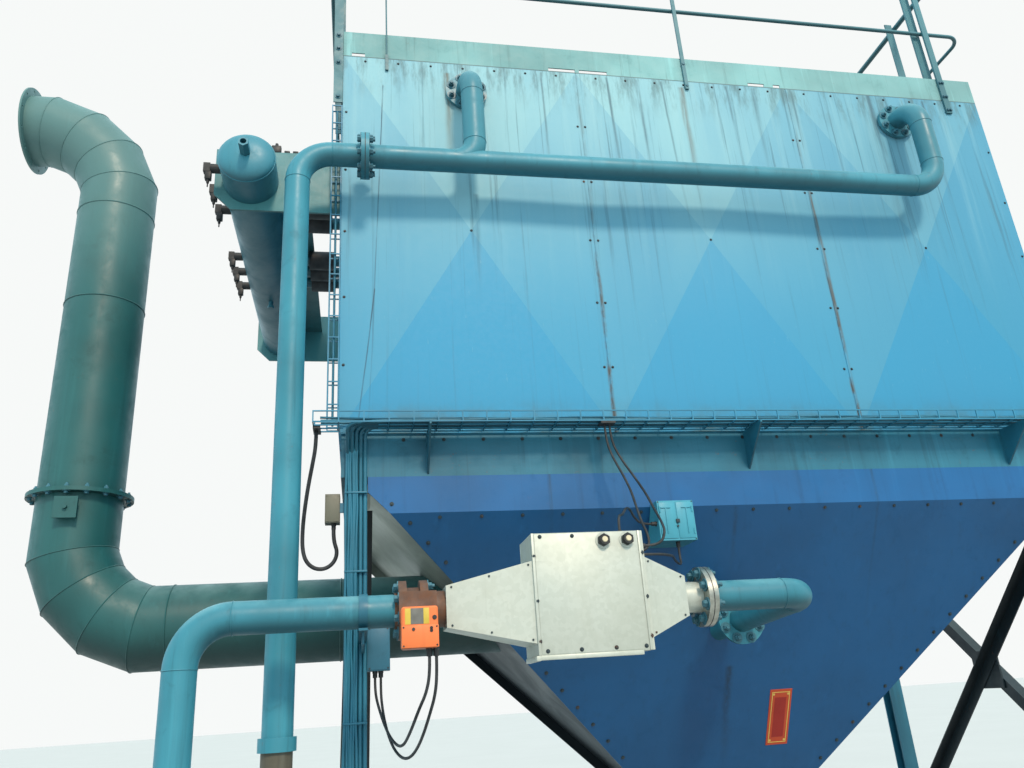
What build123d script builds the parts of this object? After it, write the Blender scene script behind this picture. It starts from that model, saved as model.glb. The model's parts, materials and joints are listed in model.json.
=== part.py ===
from build123d import *
import math
import os

# Modular dust collector with hopper, legs, inlet duct, header tank and hot-air loop.
# Millimetres. X runs to the right along the front wall, Y into the depth, Z up from the floor.
# The origin is on the underside of the front left base plate, below the casing's corner.

# Running gap between pieces that bear on each other through a curved or sloping face
clearance = 0.3

# Casing
sheet_width = 1220
sheets_front = 3
casing_depth = 2000
sheets_side = 2
casing_bottom = 2479
casing_top = 4498
wall_thickness = 5
wall_foot = 60
break_height = 12
seam_width = 4
seam_depth = 2
roof_thickness = 6

# Ring girder
girder_height = 188
girder_flange = 100
girder_thickness = 8
girder_setback = 12

# Columns and braces
column_size = 90
column_web = 6
column_flange = 8
column_offset_x = 75
column_offset_y = 57
base_size = 220
base_thickness = 16
anchor_spacing = 160
anchor_radius = 9
brace_leg = 63
brace_thickness = 6
brace_low = 560
brace_high = 2190
brace_end_gap = 30
gusset_thickness = 10
gusset_size = 200

# Hopper
outlet_size = 300
outlet_level = 740
hopper_thickness = 5
bend_level = 2135
hopper_side_setback = 129
corner_flange = 50
corner_gap = 3
ledge_width = 70
ledge_thickness = 8
outlet_rim = 60
outlet_rim_thickness = 12
outlet_bolt_radius = 7

# Guard rail
toe_board_height = 154
toe_board_thickness = 6
toe_slots = ((0, 42, 66), (1, -148, 147), (1, 21, 157), (2, -222, 98), (2, -70, 42))
toe_slot_length = 120
toe_slot_height = 20
rail_radius = 17
mid_rail_radius = 11
rail_height = 1085
mid_rail_height = 506
rail_bend = 90
post_leg = 45
post_thickness = 6
centre_post_x = 1845
centre_post_width = 20
centre_foot_drop = 58
double_post_width = 36
bar_depth = 12
post_foot_drop = 94
corner_foot_drop = 297
side_post_depth = 50
side_post_thickness = 8
inner_post_x = 3426
inner_post_width = 52
double_post_x = 3456
cleat_width = 16
cleat_drop = 78
cleat_rise = 19
cleat_rod_radius = 4
cleat_x = 218

# Inlet duct
duct_radius = 200
duct_wall = 5
duct_y = 1000
duct_level = 1817
duct_riser_x = -1292
duct_low_bend = 440
duct_top_bend = 490
duct_gores = 4
duct_ring_level = 2462
duct_ring_radius = 246
duct_ring_thickness = 10
duct_top_level = 4681
duct_end_x = -1800
duct_bolts = 12
duct_pcd = 450
duct_bolt_radius = 7
hatch_size = 104
hatch_depth = 37
hatch_drop = 31
hatch_turn = 2.5

# Header tank
tank_radius = 126
tank_x = -420
tank_level = 3747
tank_front = -180
tank_back_inset = 15
tank_dish = 48
tank_plug_radius = 24
tank_plug_length = 88
tank_plug_bore = 14
tank_drain_y = 1054
tank_drain_radius = 13
tank_drain_length = 40
plate_margin = 39
plate_bottom = 3589
plate_top = 3919
plate_chamfer = 80
plate_thickness = 12
plate_front_y = 44
plate_back_inset = 150
valve_start = -41
valve_pitch = 170
valve_group_pitch = 800
valves_in_group = 3
valve_groups = 2
valve_body = 44
valve_plug = 30
valve_plug_height = 46
blow_start = 130
blow_pitch = 130
blow_group_pitch = 650
blow_pipe_radius = 30
sleeve_radius = 52
sleeve_inner = 55
sleeve_outer = 190
shelf_edge = 165
shelf_thickness = 6

# Hot-air loop
pipe_radius = 54
pipe_bend = 152
flange_radius = 105
flange_thickness = 18
loop_y = -190
manifold_level = 3751
gooseneck_level = 4302
branch_x = 620
branch_bend = 110
manifold_end_x = 3072
manifold_joint_x = 108
downcomer_x = -188
downcomer_end = 1270
collar_radius = 66
collar_height = 46
riser_x = -467
heater_y = -500
heater_level = 1690
riser_end_x = 205

# Fan at the floor that joins the two pipes
fan_level = 420
fan_width = 160
fan_top_radius = 195
fan_right_radius = 222
fan_low_radius = 255
fan_outlet_half = 60
fan_outlet_level = 760
fan_neck_height = 90
motor_radius = 95
motor_length = 290
motor_gap = 40
motor_shaft_radius = 14
stand_half = 130
stand_plate = 12

# Damper and heater
valve_flange_left = 217
valve_flange_radius = 97
valve_flange_thickness = 27
valve_body_length = 44
valve_wafer_radius = 74
actuator_width = 115
actuator_height = 127
actuator_depth = 72
actuator_top = 1682
actuator_x = 277
bracket_width = 122
bracket_top = 1738
bracket_drop = 96
bracket_thickness = 10
taper_left = 374
heater_left = 670
heater_right = 1070
taper_right = 1222
heater_above = 227
heater_below = 175
taper_height = 272
taper_inset = 6
neck_radius = 60
heater_depth = 205
taper_end = 136
heater_flange_radius = 105
heater_flange_left = 1290
heater_flange_thickness = 18
return_x = 1722
return_bend = 110
return_flange_y = 90
return_drop = 39
clamp_x = 102
clamp_width = 29
clamp_thickness = 8
strap_thickness = 5

# Cable trays, boxes and fixed cables
tray_width = 140
tray_height = 50
tray_pitch = 100
tray_wire = 5
tray_gap = 18
tray_runs = 4
tray_left = -100
tray_right = 3560
tray_opening_left = 20
tray_opening_right = 165
tray_bracket_places = (375, 1840, 3200)
tray_bracket_thickness = 8
tray_bracket_lip = 12
tray_bracket_drop = 212
ladder_bottom = 2500
ladder_top = 4180
ladder_y = -10
ladder_width = 50
ladder_runs = 2
cable_radius = 8
cable_count = 5
cable_pitch = 18
cable_bend = 40
cable_foot = 420
junction_x = 1342
junction_width = 163
junction_height = 171
junction_depth = 82
junction_bottom = 1972
blue_box_size = (87, 70, 165)
blue_box_front = -2
blue_box_level = 1522
grey_box_size = (60, 60, 118)
grey_box_corner = (-50, 14, 2104)
grey_bracket = (8, 40)
foot_box_size = (120, 74, 180)
end_box_size = (88, 130, 150)
end_box_drop = 30

# Loose cables and the glands they come out of
gland_radius = 9
gland_length = 24
clip_size = (64, 50, 10)
clip_x = 1139
clip_left_x = -88
thin_cable_radius = 5
thick_cable_radius = 8
heater_top_gland_x = 1030

# Worked out from the above
casing_width = sheet_width * sheets_front
centre_x = casing_width / 2
centre_y = casing_depth / 2
half_outlet = outlet_size / 2
girder_bottom = casing_bottom - girder_height
roof_level = casing_top + roof_thickness
hopper_top = girder_bottom
hopper_rise = hopper_top - outlet_level
side_run = centre_x - half_outlet - hopper_side_setback
side_slope = math.atan2(hopper_rise, side_run)
plate_reach = tank_radius - tank_x + plate_margin
plate_back_y = casing_depth - plate_back_inset
tank_back = casing_depth - tank_back_inset
post_gap = clearance + 2 * break_height * post_foot_drop / (casing_top - casing_bottom)
corner_gap_x = clearance + 2 * break_height * post_leg / (casing_depth / sheets_side)
post_top = roof_level + rail_height
valve_places = [
    valve_start + group * valve_group_pitch + step * valve_pitch
    for group in range(valve_groups)
    for step in range(valves_in_group)
]
blow_places = [
    blow_start + group * blow_group_pitch + step * blow_pitch
    for group in range(valve_groups)
    for step in range(valves_in_group)
]


def save(piece, name):
    """Labels a finished sub-part and writes it as one STEP file."""
    piece.part.label = name
    export_step(piece.part, "parts/" + name + ".step")


def slab(low, high, mode=Mode.ADD):
    """Square-edged plate or bar between two opposite corners."""
    size = [b - a for a, b in zip(low, high)]
    with Locations(low):
        Box(*size, align=(Align.MIN, Align.MIN, Align.MIN), mode=mode)


def disc(centre, axis, radius, thickness, mode=Mode.ADD):
    """Round plate or bar from centre along axis."""
    with BuildSketch(Plane(origin=centre, z_dir=axis)) as face:
        Circle(radius)
    extrude(face.sketch, amount=thickness, mode=mode)


def outline_plate(plane, points, thickness):
    """Plate with a straight-sided outline drawn on the plane."""
    with BuildSketch(plane) as face:
        with BuildLine():
            Polyline(*points, close=True)
        make_face()
    extrude(face.sketch, amount=thickness)


def pipe(points, radius, bend):
    """Round bar or pipe outside along points, its corners rounded to the bend radius."""
    with BuildLine(mode=Mode.PRIVATE) as route:
        if len(points) == 2:
            Line(*points)
        else:
            FilletPolyline(*points, radius=bend)
    path = route.wires()[0]
    with BuildSketch(Plane(origin=path @ 0, z_dir=path % 0)) as face:
        Circle(radius)
    sweep(face.sketch, path=path)


os.makedirs("parts", exist_ok=True)


# Casing walls: one skin per side, cross-broken between shallow seams, with an inward foot
def wall(name, corner, across, outward, width, count, foot_inset):
    height = casing_top - casing_bottom
    pitch = width / count
    face = Plane(origin=corner, x_dir=across, z_dir=outward)
    with BuildPart() as skin:
        with BuildSketch(face):
            Rectangle(width, height, align=(Align.MIN, Align.MIN))
        extrude(amount=-wall_thickness)
        for step in range(count):
            middle = face.from_local_coords(Vector((step + 0.5) * pitch, height / 2, 0))
            field = Plane(origin=middle, x_dir=across, z_dir=outward)
            for depth, mode in ((0, Mode.ADD), (-wall_thickness, Mode.SUBTRACT)):
                with BuildSketch(field.offset(depth), mode=Mode.PRIVATE) as foot:
                    Rectangle(pitch - 2 * seam_width, height - 2 * seam_width)
                with BuildSketch(field.offset(depth + break_height), mode=Mode.PRIVATE) as tip:
                    Rectangle(pitch / 400, height / 400)
                loft(sections=[foot.sketch, tip.sketch], mode=mode)
        for step in range(1, count):
            seam = face.from_local_coords(Vector(step * pitch, height / 2, 0))
            with BuildSketch(Plane(origin=seam, x_dir=across, z_dir=outward)):
                Rectangle(seam_width, height)
            extrude(amount=-seam_depth, mode=Mode.SUBTRACT)
        with BuildSketch(face.offset(-wall_thickness)):
            with Locations((foot_inset, 0)):
                Rectangle(width - 2 * foot_inset, wall_thickness, align=(Align.MIN, Align.MIN))
        extrude(amount=-wall_foot)
    save(skin, name)


side_width = casing_depth - 2 * wall_thickness
side_inset = wall_foot + clearance
wall("wall_front", (0, 0, casing_bottom), (1, 0, 0), (0, -1, 0), casing_width, sheets_front, wall_thickness)
wall(
    "wall_back",
    (casing_width, casing_depth, casing_bottom),
    (-1, 0, 0),
    (0, 1, 0),
    casing_width,
    sheets_front,
    wall_thickness,
)
wall(
    "wall_left",
    (0, casing_depth - wall_thickness, casing_bottom),
    (0, -1, 0),
    (-1, 0, 0),
    side_width,
    sheets_side,
    side_inset,
)
wall(
    "wall_right",
    (casing_width, wall_thickness, casing_bottom),
    (0, 1, 0),
    (1, 0, 0),
    side_width,
    sheets_side,
    side_inset,
)


def left_bulge(y):
    """How far the cross-break of the left wall stands out at depth y."""
    pitch = side_width / sheets_side
    along = (y - wall_thickness) % pitch
    return break_height * min(along, pitch - along) / (pitch / 2)


with BuildPart() as roof_plate:
    slab((0, 0, casing_top), (casing_width, casing_depth, roof_level))
save(roof_plate, "roof_plate")

# Toe boards stand on the roof edge, with short slots under them
with BuildPart() as toe_boards:
    board_top = roof_level + toe_board_height
    side_start = toe_board_thickness + clearance
    for y in (0, casing_depth - toe_board_thickness):
        slab((0, y, roof_level), (casing_width, y + toe_board_thickness, board_top))
    for x in (0, casing_width - toe_board_thickness):
        slab((x, side_start, roof_level), (x + toe_board_thickness, casing_depth - side_start, board_top))
    # Slots of the front and back: seam number, start from that seam, length
    for seam, offset, length in toe_slots:
        start = seam * sheet_width + offset
        slab(
            (start, -1, roof_level - 1),
            (start + length, casing_depth + 1, roof_level + toe_slot_height),
            Mode.SUBTRACT,
        )
    for step in range(sheets_side):
        start = step * casing_depth / sheets_side + toe_slot_length
        slab(
            (-1, start, roof_level - 1),
            (casing_width + 1, start + toe_slot_length, roof_level + toe_slot_height),
            Mode.SUBTRACT,
        )
save(toe_boards, "toe_boards")


# Guard rail posts: angles at the left corners and flat bars, bolted to the walls below the rim
def rail_setback(radius):
    """Depth of a rail's centre line, behind the posts of the front and back."""
    return radius + clearance - post_gap


def upright(x, width, near_y, side_y, thickness, foot, top):
    """Flat upright whose broad side faces front or back, from near_y towards side_y."""
    low_y, high_y = sorted((near_y, near_y + side_y * thickness))
    slab((x - width / 2, low_y, foot), (x + width / 2, high_y, top))


with BuildPart() as handrail_posts:
    for y, side_y in ((0, 1), (casing_depth, -1)):
        front_y = y - side_y * post_gap
        # Left corner: the broad leg runs full height, the leg on the side wall stops at the rim
        leg_x = -corner_gap_x - post_leg / 2
        corner_foot = casing_top - corner_foot_drop
        upright(leg_x, post_leg, front_y, -side_y, post_thickness, corner_foot, post_top)
        wall_leg_x = -corner_gap_x - post_thickness / 2
        upright(wall_leg_x, post_thickness, front_y, side_y, post_leg, corner_foot, board_top)
        # Centre post and double post, the second bar of which stands on the deck behind the rail
        centre_foot = casing_top - centre_foot_drop
        upright(centre_post_x, centre_post_width, front_y, -side_y, bar_depth, centre_foot, post_top)
        double_foot = casing_top - post_foot_drop
        upright(double_post_x, double_post_width, front_y, -side_y, bar_depth, double_foot, post_top)
        inner_y = y + side_y * (rail_setback(rail_radius) + rail_radius + clearance)
        upright(inner_post_x, inner_post_width, inner_y, side_y, bar_depth, roof_level, post_top)
    # Side posts stand edge-on outside the side walls and carry the rails on their outer edges
    for x, side_x in ((0, -1), (casing_width, 1)):
        for share in (0.25, 0.75):
            near_x = x + side_x * post_gap
            low_x, high_x = sorted((near_x, near_x + side_x * side_post_depth))
            post_y = casing_depth * share - side_post_thickness / 2
            slab((low_x, post_y, casing_top - post_foot_drop), (high_x, post_y + side_post_thickness, post_top))
    # Short cleat at the left of the rim, with a thin rod up to the mid rail
    cleat_foot = casing_top - cleat_drop
    upright(cleat_x, cleat_width, -post_gap, -1, bar_depth, cleat_foot, casing_top + cleat_rise)
    rod_top = roof_level + mid_rail_height + mid_rail_radius
    disc((cleat_x, -post_gap - cleat_rod_radius, cleat_foot + 10), (0, 0, 1), cleat_rod_radius, rod_top - cleat_foot - 10)
save(handrail_posts, "handrail_posts")


def rail_loop(level, radius, name):
    """Tube bent round the four corners, behind the front posts and outside the side posts."""
    width = casing_width + 2 * (post_gap + side_post_depth + clearance + radius)
    depth = casing_depth - 2 * rail_setback(radius)
    with BuildSketch(Plane.XY.offset(level), mode=Mode.PRIVATE) as outline:
        with Locations((centre_x, centre_y)):
            RectangleRounded(width, depth, rail_bend)
    path = outline.sketch.faces()[0].outer_wire()
    with BuildPart() as tube:
        with BuildSketch(Plane(origin=path @ 0, z_dir=path % 0)):
            Circle(radius)
        sweep(path=path)
    save(tube, name)


rail_loop(post_top - 2 * rail_radius, rail_radius, "top_rail")
rail_loop(roof_level + mid_rail_height, mid_rail_radius, "mid_rail")


# Ring girder: channels with their webs outside
def channel(corner, along, length, closed):
    """Channel from corner, its web on the outside; closed gives it end plates."""
    plane = Plane(origin=corner, x_dir=along)
    with BuildSketch(plane) as outside:
        Rectangle(length, girder_flange, align=(Align.MIN, Align.MIN))
    extrude(outside.sketch, amount=girder_height)
    inset = girder_thickness if closed else 0
    with BuildSketch(plane.offset(girder_thickness)) as inside:
        with Locations((inset, girder_thickness)):
            Rectangle(length - 2 * inset, girder_flange, align=(Align.MIN, Align.MIN))
    extrude(inside.sketch, amount=girder_height - 2 * girder_thickness, mode=Mode.SUBTRACT)


girder_right_x = casing_width - girder_setback
girder_back_y = casing_depth - girder_setback
girder_length = girder_right_x - girder_setback
girder_side_start = girder_setback + girder_flange
girder_side_length = casing_depth - 2 * girder_side_start

with BuildPart() as girder_front:
    channel((girder_setback, girder_setback, girder_bottom), (1, 0, 0), girder_length, True)
    # Triangular gussets that carry the cable tray
    tray_base = casing_bottom - 1
    bracket_tip = -tray_gap - tray_width - tray_bracket_lip
    for x in tray_bracket_places:
        bracket = [
            (girder_setback, tray_base),
            (bracket_tip, tray_base),
            (bracket_tip, tray_base - tray_bracket_lip),
            (girder_setback, casing_bottom - tray_bracket_drop + girder_thickness * 4),
        ]
        outline_plate(Plane.YZ.offset(x - tray_bracket_thickness / 2), bracket, tray_bracket_thickness)
save(girder_front, "girder_front")

with BuildPart() as girder_back:
    channel((girder_right_x, girder_back_y, girder_bottom), (-1, 0, 0), girder_length, True)
save(girder_back, "girder_back")

with BuildPart() as girder_left:
    start = casing_depth - girder_side_start
    channel((girder_setback, start, girder_bottom), (0, -1, 0), girder_side_length, False)
save(girder_left, "girder_left")

with BuildPart() as girder_right:
    channel((girder_right_x, girder_side_start, girder_bottom), (0, 1, 0), girder_side_length, False)
save(girder_right, "girder_right")


# Columns: H-sections on base plates, with gussets where the braces end
def column(name, right, back):
    x = casing_width - column_offset_x if right else column_offset_x
    y = casing_depth - column_offset_y if back else column_offset_y
    inward = -1 if back else 1
    flange_shift = (column_size - column_flange) / 2
    with BuildPart() as post:
        with BuildSketch(Plane.XY.offset(base_thickness)):
            with Locations((x, y)):
                Rectangle(column_web, column_size)
            with Locations((x, y - flange_shift), (x, y + flange_shift)):
                Rectangle(column_size, column_flange)
        extrude(amount=girder_bottom - base_thickness)
        with BuildSketch():
            with Locations((x, y)):
                Rectangle(base_size, base_size)
            with Locations((x, y)):
                with GridLocations(anchor_spacing, anchor_spacing, 2, 2):
                    Circle(anchor_radius, mode=Mode.SUBTRACT)
        extrude(amount=base_thickness)
        face_y = y + inward * column_size / 2
        for level, rise in ((brace_low, 1), (brace_high, -1)):
            gusset = [
                (face_y, level - rise * gusset_size * 0.45),
                (face_y + inward * gusset_size * 0.4, level - rise * gusset_size * 0.45),
                (face_y + inward * gusset_size, level + rise * gusset_size * 0.4),
                (face_y + inward * gusset_size * 0.6, level + rise * gusset_size),
                (face_y, level + rise * gusset_size * 0.7),
            ]
            outline_plate(Plane.YZ.offset(x - gusset_thickness / 2), gusset, gusset_thickness)
    save(post, name)


column("column_front_left", False, False)
column("column_front_right", True, False)
column("column_back_left", False, True)
column("column_back_right", True, True)


# Crossed angle braces, one on each side of the gusset plates
def brace(name, x, outward):
    start_y = column_offset_y + column_size / 2 + brace_end_gap
    end_y = casing_depth - start_y
    cross_level = (brace_low + brace_high) / 2
    with BuildPart() as cross:
        for side, first, last in (
            (outward, (start_y, brace_low), (end_y, brace_high)),
            (-outward, (end_y, brace_low), (start_y, brace_high)),
        ):
            near = x + side * (gusset_thickness / 2 + clearance)
            section = Plane(
                origin=(near, *first),
                x_dir=(side, 0, 0),
                z_dir=(0, last[0] - first[0], last[1] - first[1]),
            )
            with BuildSketch(section):
                Rectangle(brace_thickness, brace_leg, align=(Align.MIN, Align.CENTER))
                with Locations((0, -brace_leg / 2)):
                    Rectangle(brace_leg, brace_thickness, align=(Align.MIN, Align.MIN))
            extrude(amount=math.dist(first, last))
        # Crossing plate, welded to the outer angle and bolted to the inner one
        with Locations((x + outward * clearance, centre_y, cross_level)):
            Box(gusset_thickness, gusset_size, gusset_size)
    save(cross, name)


brace("brace_left", column_offset_x, -1)
brace("brace_right", casing_width - column_offset_x, 1)


# Hopper: an inverted pyramid with a short upright band at the front and back
def side_profile(shift):
    """Outline seen from the front, each sloping side moved in by shift, measured level."""
    foot = half_outlet - shift
    return [
        (centre_x - foot - side_run, hopper_top),
        (centre_x + foot + side_run, hopper_top),
        (centre_x + foot, outlet_level),
        (centre_x - foot, outlet_level),
    ]


front_slope = math.atan2(bend_level - outlet_level, centre_y - half_outlet - girder_setback)


def depth_profile(inset):
    """Outline seen from the side, each face moved in by inset, measured square to it."""
    shift = inset / math.sin(front_slope)
    bend = bend_level + math.tan(front_slope) * (shift - inset)
    front = girder_setback + inset
    foot = centre_y - half_outlet + shift
    return [
        (front, hopper_top),
        (front, bend),
        (foot, outlet_level),
        (casing_depth - foot, outlet_level),
        (casing_depth - front, bend),
        (casing_depth - front, hopper_top),
    ]


def across_prism(points, mode=Mode.ADD):
    """Prism of a front outline, run through the whole depth."""
    with BuildSketch(Plane.XZ) as face:
        with BuildLine():
            Polyline(*points, close=True)
        make_face()
    extrude(face.sketch, amount=-casing_depth, mode=mode)


def depth_prism(points, mode=Mode.ADD):
    """Prism of a side outline, run through the whole width."""
    with BuildSketch(Plane.YZ) as face:
        with BuildLine():
            Polyline(*points, close=True)
        make_face()
    extrude(face.sketch, amount=casing_width, mode=mode)


with BuildPart() as hopper_body:
    across_prism(side_profile(0))
    depth_prism(depth_profile(0), Mode.INTERSECT)

# Front and back plates, with fins past the corners that the side plates bolt to
fin_edge = column_offset_x + column_size / 2 + corner_gap
fin_corners = side_profile(-corner_flange / math.sin(side_slope))
fin_level = hopper_top - (fin_edge - fin_corners[0][0]) * math.tan(side_slope)
fin_profile = [
    (fin_edge, hopper_top),
    (casing_width - fin_edge, hopper_top),
    (casing_width - fin_edge, fin_level),
    fin_corners[2],
    fin_corners[3],
    (fin_edge, fin_level),
]
for name, cut_from in (("hopper_front", centre_y), ("hopper_back", 0)):
    with BuildPart() as plate:
        across_prism(fin_profile)
        depth_prism(depth_profile(0), Mode.INTERSECT)
        depth_prism(depth_profile(hopper_thickness), Mode.SUBTRACT)
        slab((0, cut_from, 0), (casing_width, cut_from + centre_y, casing_top), Mode.SUBTRACT)
    save(plate, name)

# Side plates between them, each with bolting strips behind the fins and a ledge under the girder
level_shift = hopper_thickness / math.sin(side_slope)
ledge_end = column_offset_y + column_size / 2 + corner_gap
hopper_left_top = side_profile(0)[0][0]
for name, right in (("hopper_left", False), ("hopper_right", True)):
    with BuildPart() as plate:
        across_prism(side_profile(0))
        across_prism(side_profile(level_shift), Mode.SUBTRACT)
        depth_prism(depth_profile(hopper_thickness), Mode.INTERSECT)
        with BuildPart(mode=Mode.PRIVATE) as strips:
            across_prism(fin_profile)
            across_prism(side_profile(0), Mode.SUBTRACT)
            depth_prism(depth_profile(hopper_thickness), Mode.INTERSECT)
            depth_prism(depth_profile(2 * hopper_thickness), Mode.SUBTRACT)
        add(strips.part)
        slab(
            (hopper_left_top + level_shift - ledge_width, ledge_end, hopper_top - ledge_thickness),
            (hopper_left_top + level_shift, casing_depth - ledge_end, hopper_top),
        )
        slab(
            (casing_width - hopper_left_top - level_shift, ledge_end, hopper_top - ledge_thickness),
            (casing_width - hopper_left_top - level_shift + ledge_width, casing_depth - ledge_end, hopper_top),
        )
        cut_from = 0 if right else centre_x
        slab((cut_from, 0, 0), (cut_from + centre_x, casing_depth, casing_top), Mode.SUBTRACT)
        if not right:
            disc((0, duct_y, duct_level), (1, 0, 0), duct_radius + clearance, centre_x, Mode.SUBTRACT)
    save(plate, name)

with BuildPart() as outlet_flange:
    rim_size = outlet_size + 2 * outlet_rim
    hole_spacing = outlet_size + outlet_rim
    with BuildSketch(Plane.XY.offset(outlet_level - outlet_rim_thickness)):
        with Locations((centre_x, centre_y)):
            Rectangle(rim_size, rim_size)
            Rectangle(outlet_size - 2 * level_shift, outlet_size - 2 * level_shift, mode=Mode.SUBTRACT)
            with GridLocations(hole_spacing / 2, hole_spacing / 2, 3, 3):
                Circle(outlet_bolt_radius, mode=Mode.SUBTRACT)
    extrude(amount=outlet_rim_thickness)
save(outlet_flange, "outlet_flange")


# Inlet duct: sheet-metal duct with segmented elbows, drawn as mitred straight lengths
def gore_points(centre, bend, start_angle, turn):
    """Corners of a segmented elbow on its bend circle, in the XZ plane."""
    step = turn / duct_gores
    reach = bend / math.cos(math.radians(step / 2))
    points = []
    for gore in range(duct_gores):
        angle = math.radians(start_angle + (gore + 0.5) * step)
        points.append((centre[0] + reach * math.cos(angle), duct_y, centre[1] + reach * math.sin(angle)))
    return points


def duct_run(points, radius, mode=Mode.ADD):
    """Round duct along straight lengths with mitred joints."""
    with BuildLine(mode=Mode.PRIVATE) as route:
        Polyline(*points)
    path = route.wires()[0]
    with BuildSketch(Plane(origin=path @ 0, z_dir=path % 0)) as face:
        Circle(radius)
    sweep(face.sketch, path=path, transition=Transition.RIGHT, mode=mode)


low_centre = (duct_riser_x + duct_low_bend, duct_level + duct_low_bend)
low_elbow = gore_points(low_centre, duct_low_bend, 270, -90)
with BuildPart() as duct_lower:
    run = [(centre_x - half_outlet, duct_y, duct_level), *low_elbow, (duct_riser_x, duct_y, duct_ring_level)]
    duct_run(run, duct_radius)
    disc(
        (duct_riser_x, duct_y, duct_ring_level - duct_ring_thickness),
        (0, 0, 1),
        duct_ring_radius,
        duct_ring_thickness,
    )
    add(hopper_body.part, mode=Mode.SUBTRACT)
    duct_run(run, duct_radius - duct_wall, Mode.SUBTRACT)
save(duct_lower, "duct_lower")

top_centre = (duct_riser_x - duct_top_bend, duct_top_level - duct_top_bend)
top_elbow = gore_points(top_centre, duct_top_bend, 0, 90)
with BuildPart() as duct_upper:
    run = [(duct_riser_x, duct_y, duct_ring_level), *top_elbow, (duct_end_x, duct_y, duct_top_level)]
    duct_run(run, duct_radius)
    disc((duct_riser_x, duct_y, duct_ring_level), (0, 0, 1), duct_ring_radius, duct_ring_thickness)
    disc((duct_end_x, duct_y, duct_top_level), (1, 0, 0), duct_ring_radius, duct_ring_thickness)
    duct_run(run, duct_radius - duct_wall, Mode.SUBTRACT)
    with BuildSketch(Plane(origin=(duct_end_x, duct_y, duct_top_level), z_dir=(1, 0, 0))):
        with PolarLocations(duct_pcd / 2, duct_bolts):
            Circle(duct_bolt_radius)
    extrude(amount=duct_ring_thickness, mode=Mode.SUBTRACT)
save(duct_upper, "duct_upper")

# Square inspection cover on the riser foot, just under the ring flange
with BuildPart() as duct_hatch:
    hatch_level = duct_ring_level - duct_ring_thickness - hatch_drop - hatch_size / 2
    hatch_dir = (math.sin(math.radians(hatch_turn)), -math.cos(math.radians(hatch_turn)), 0)
    neck = Plane(origin=(duct_riser_x, duct_y, hatch_level), x_dir=(-hatch_dir[1], hatch_dir[0], 0), z_dir=hatch_dir)
    with BuildSketch(neck):
        Rectangle(hatch_size - 16, hatch_size - 16)
    extrude(amount=duct_radius + hatch_depth)
    with BuildSketch(neck.offset(duct_radius + hatch_depth)):
        Rectangle(hatch_size, hatch_size)
    extrude(amount=8)
    with BuildSketch(neck.offset(duct_radius + hatch_depth + 8)):
        Circle(10)
    extrude(amount=16)
    disc((duct_riser_x, duct_y, 0), (0, 0, 1), duct_radius + clearance, casing_top, Mode.SUBTRACT)
save(duct_hatch, "duct_hatch")

# Compressed-air header: tank with dished ends, lying along Y beside the left wall
with BuildPart() as header_tank:
    with BuildSketch(Plane.YZ.offset(tank_x)):
        with BuildLine():
            start = (tank_front, tank_level)
            shoulder = (tank_front + tank_dish, tank_level + tank_radius)
            far_shoulder = (tank_back - tank_dish, tank_level + tank_radius)
            end = (tank_back, tank_level)
            EllipticalCenterArc((tank_front + tank_dish, tank_level), tank_dish, tank_radius, 90, arc_size=90)
            Line(shoulder, far_shoulder)
            EllipticalCenterArc((tank_back - tank_dish, tank_level), tank_dish, tank_radius, 0, arc_size=90)
            Line(end, start)
        make_face()
    revolve(axis=Axis((tank_x, 0, tank_level), (0, 1, 0)))
    with BuildSketch(Plane(origin=(tank_x, tank_front + 10, tank_level), z_dir=(0, -1, 0))):
        RegularPolygon(tank_plug_radius, 6)
    extrude(amount=tank_plug_length)
    plug_tip = tank_front + 10 - tank_plug_length
    disc((tank_x, plug_tip, tank_level), (0, 1, 0), tank_plug_bore, tank_plug_bore * 2, Mode.SUBTRACT)
    drain_top = tank_level - tank_radius + tank_drain_radius
    disc((tank_x, tank_drain_y, drain_top), (0, 0, -1), tank_drain_radius, tank_drain_radius + tank_drain_length)
    with BuildSketch(Plane.XY.offset(tank_level - tank_radius - tank_drain_length)) as cap:
        with Locations((tank_x, tank_drain_y)):
            RegularPolygon(tank_drain_radius * 1.4, 6)
    extrude(cap.sketch, amount=tank_drain_radius * 1.2)
save(header_tank, "header_tank")

with BuildPart() as tank_supports:
    for y in (plate_front_y, plate_back_y):
        wall_x = -max(left_bulge(y), left_bulge(y + plate_thickness)) - clearance
        plate = [
            (wall_x, plate_bottom),
            (wall_x, plate_top),
            (-plate_reach, plate_top),
            (-plate_reach, plate_bottom + plate_chamfer),
            (-plate_reach + plate_chamfer, plate_bottom),
        ]
        outline_plate(Plane.XZ.offset(-y - plate_thickness), plate, plate_thickness)
    # Long shelf over the pipe sleeves, from plate to plate
    shelf_level = tank_level + sleeve_radius + shelf_thickness / 2
    slab(
        (tank_x + tank_radius / 2, plate_front_y + plate_thickness / 2, shelf_level),
        (-shelf_edge, plate_back_y + plate_thickness / 2, shelf_level + shelf_thickness),
    )
    disc((tank_x, 0, tank_level), (0, 1, 0), tank_radius, casing_depth, Mode.SUBTRACT)
save(tank_supports, "tank_supports")

with BuildPart() as pulse_valves:
    for y in valve_places:
        outer_x = tank_x - tank_radius - valve_body
        disc((tank_x, y, tank_level), (-1, 0, 0), valve_body / 2, tank_radius + valve_body)
        slab(
            (outer_x - valve_plug, y - valve_plug / 2, tank_level - valve_plug_height / 2),
            (outer_x, y + valve_plug / 2, tank_level + valve_plug_height / 2),
        )
        disc((outer_x - valve_plug / 2, y, tank_level - valve_plug_height / 2), (0, 0, -1), 6, 14)
    disc((tank_x, tank_front, tank_level), (0, 1, 0), tank_radius + clearance, casing_depth, Mode.SUBTRACT)
save(pulse_valves, "pulse_valves")

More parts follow.
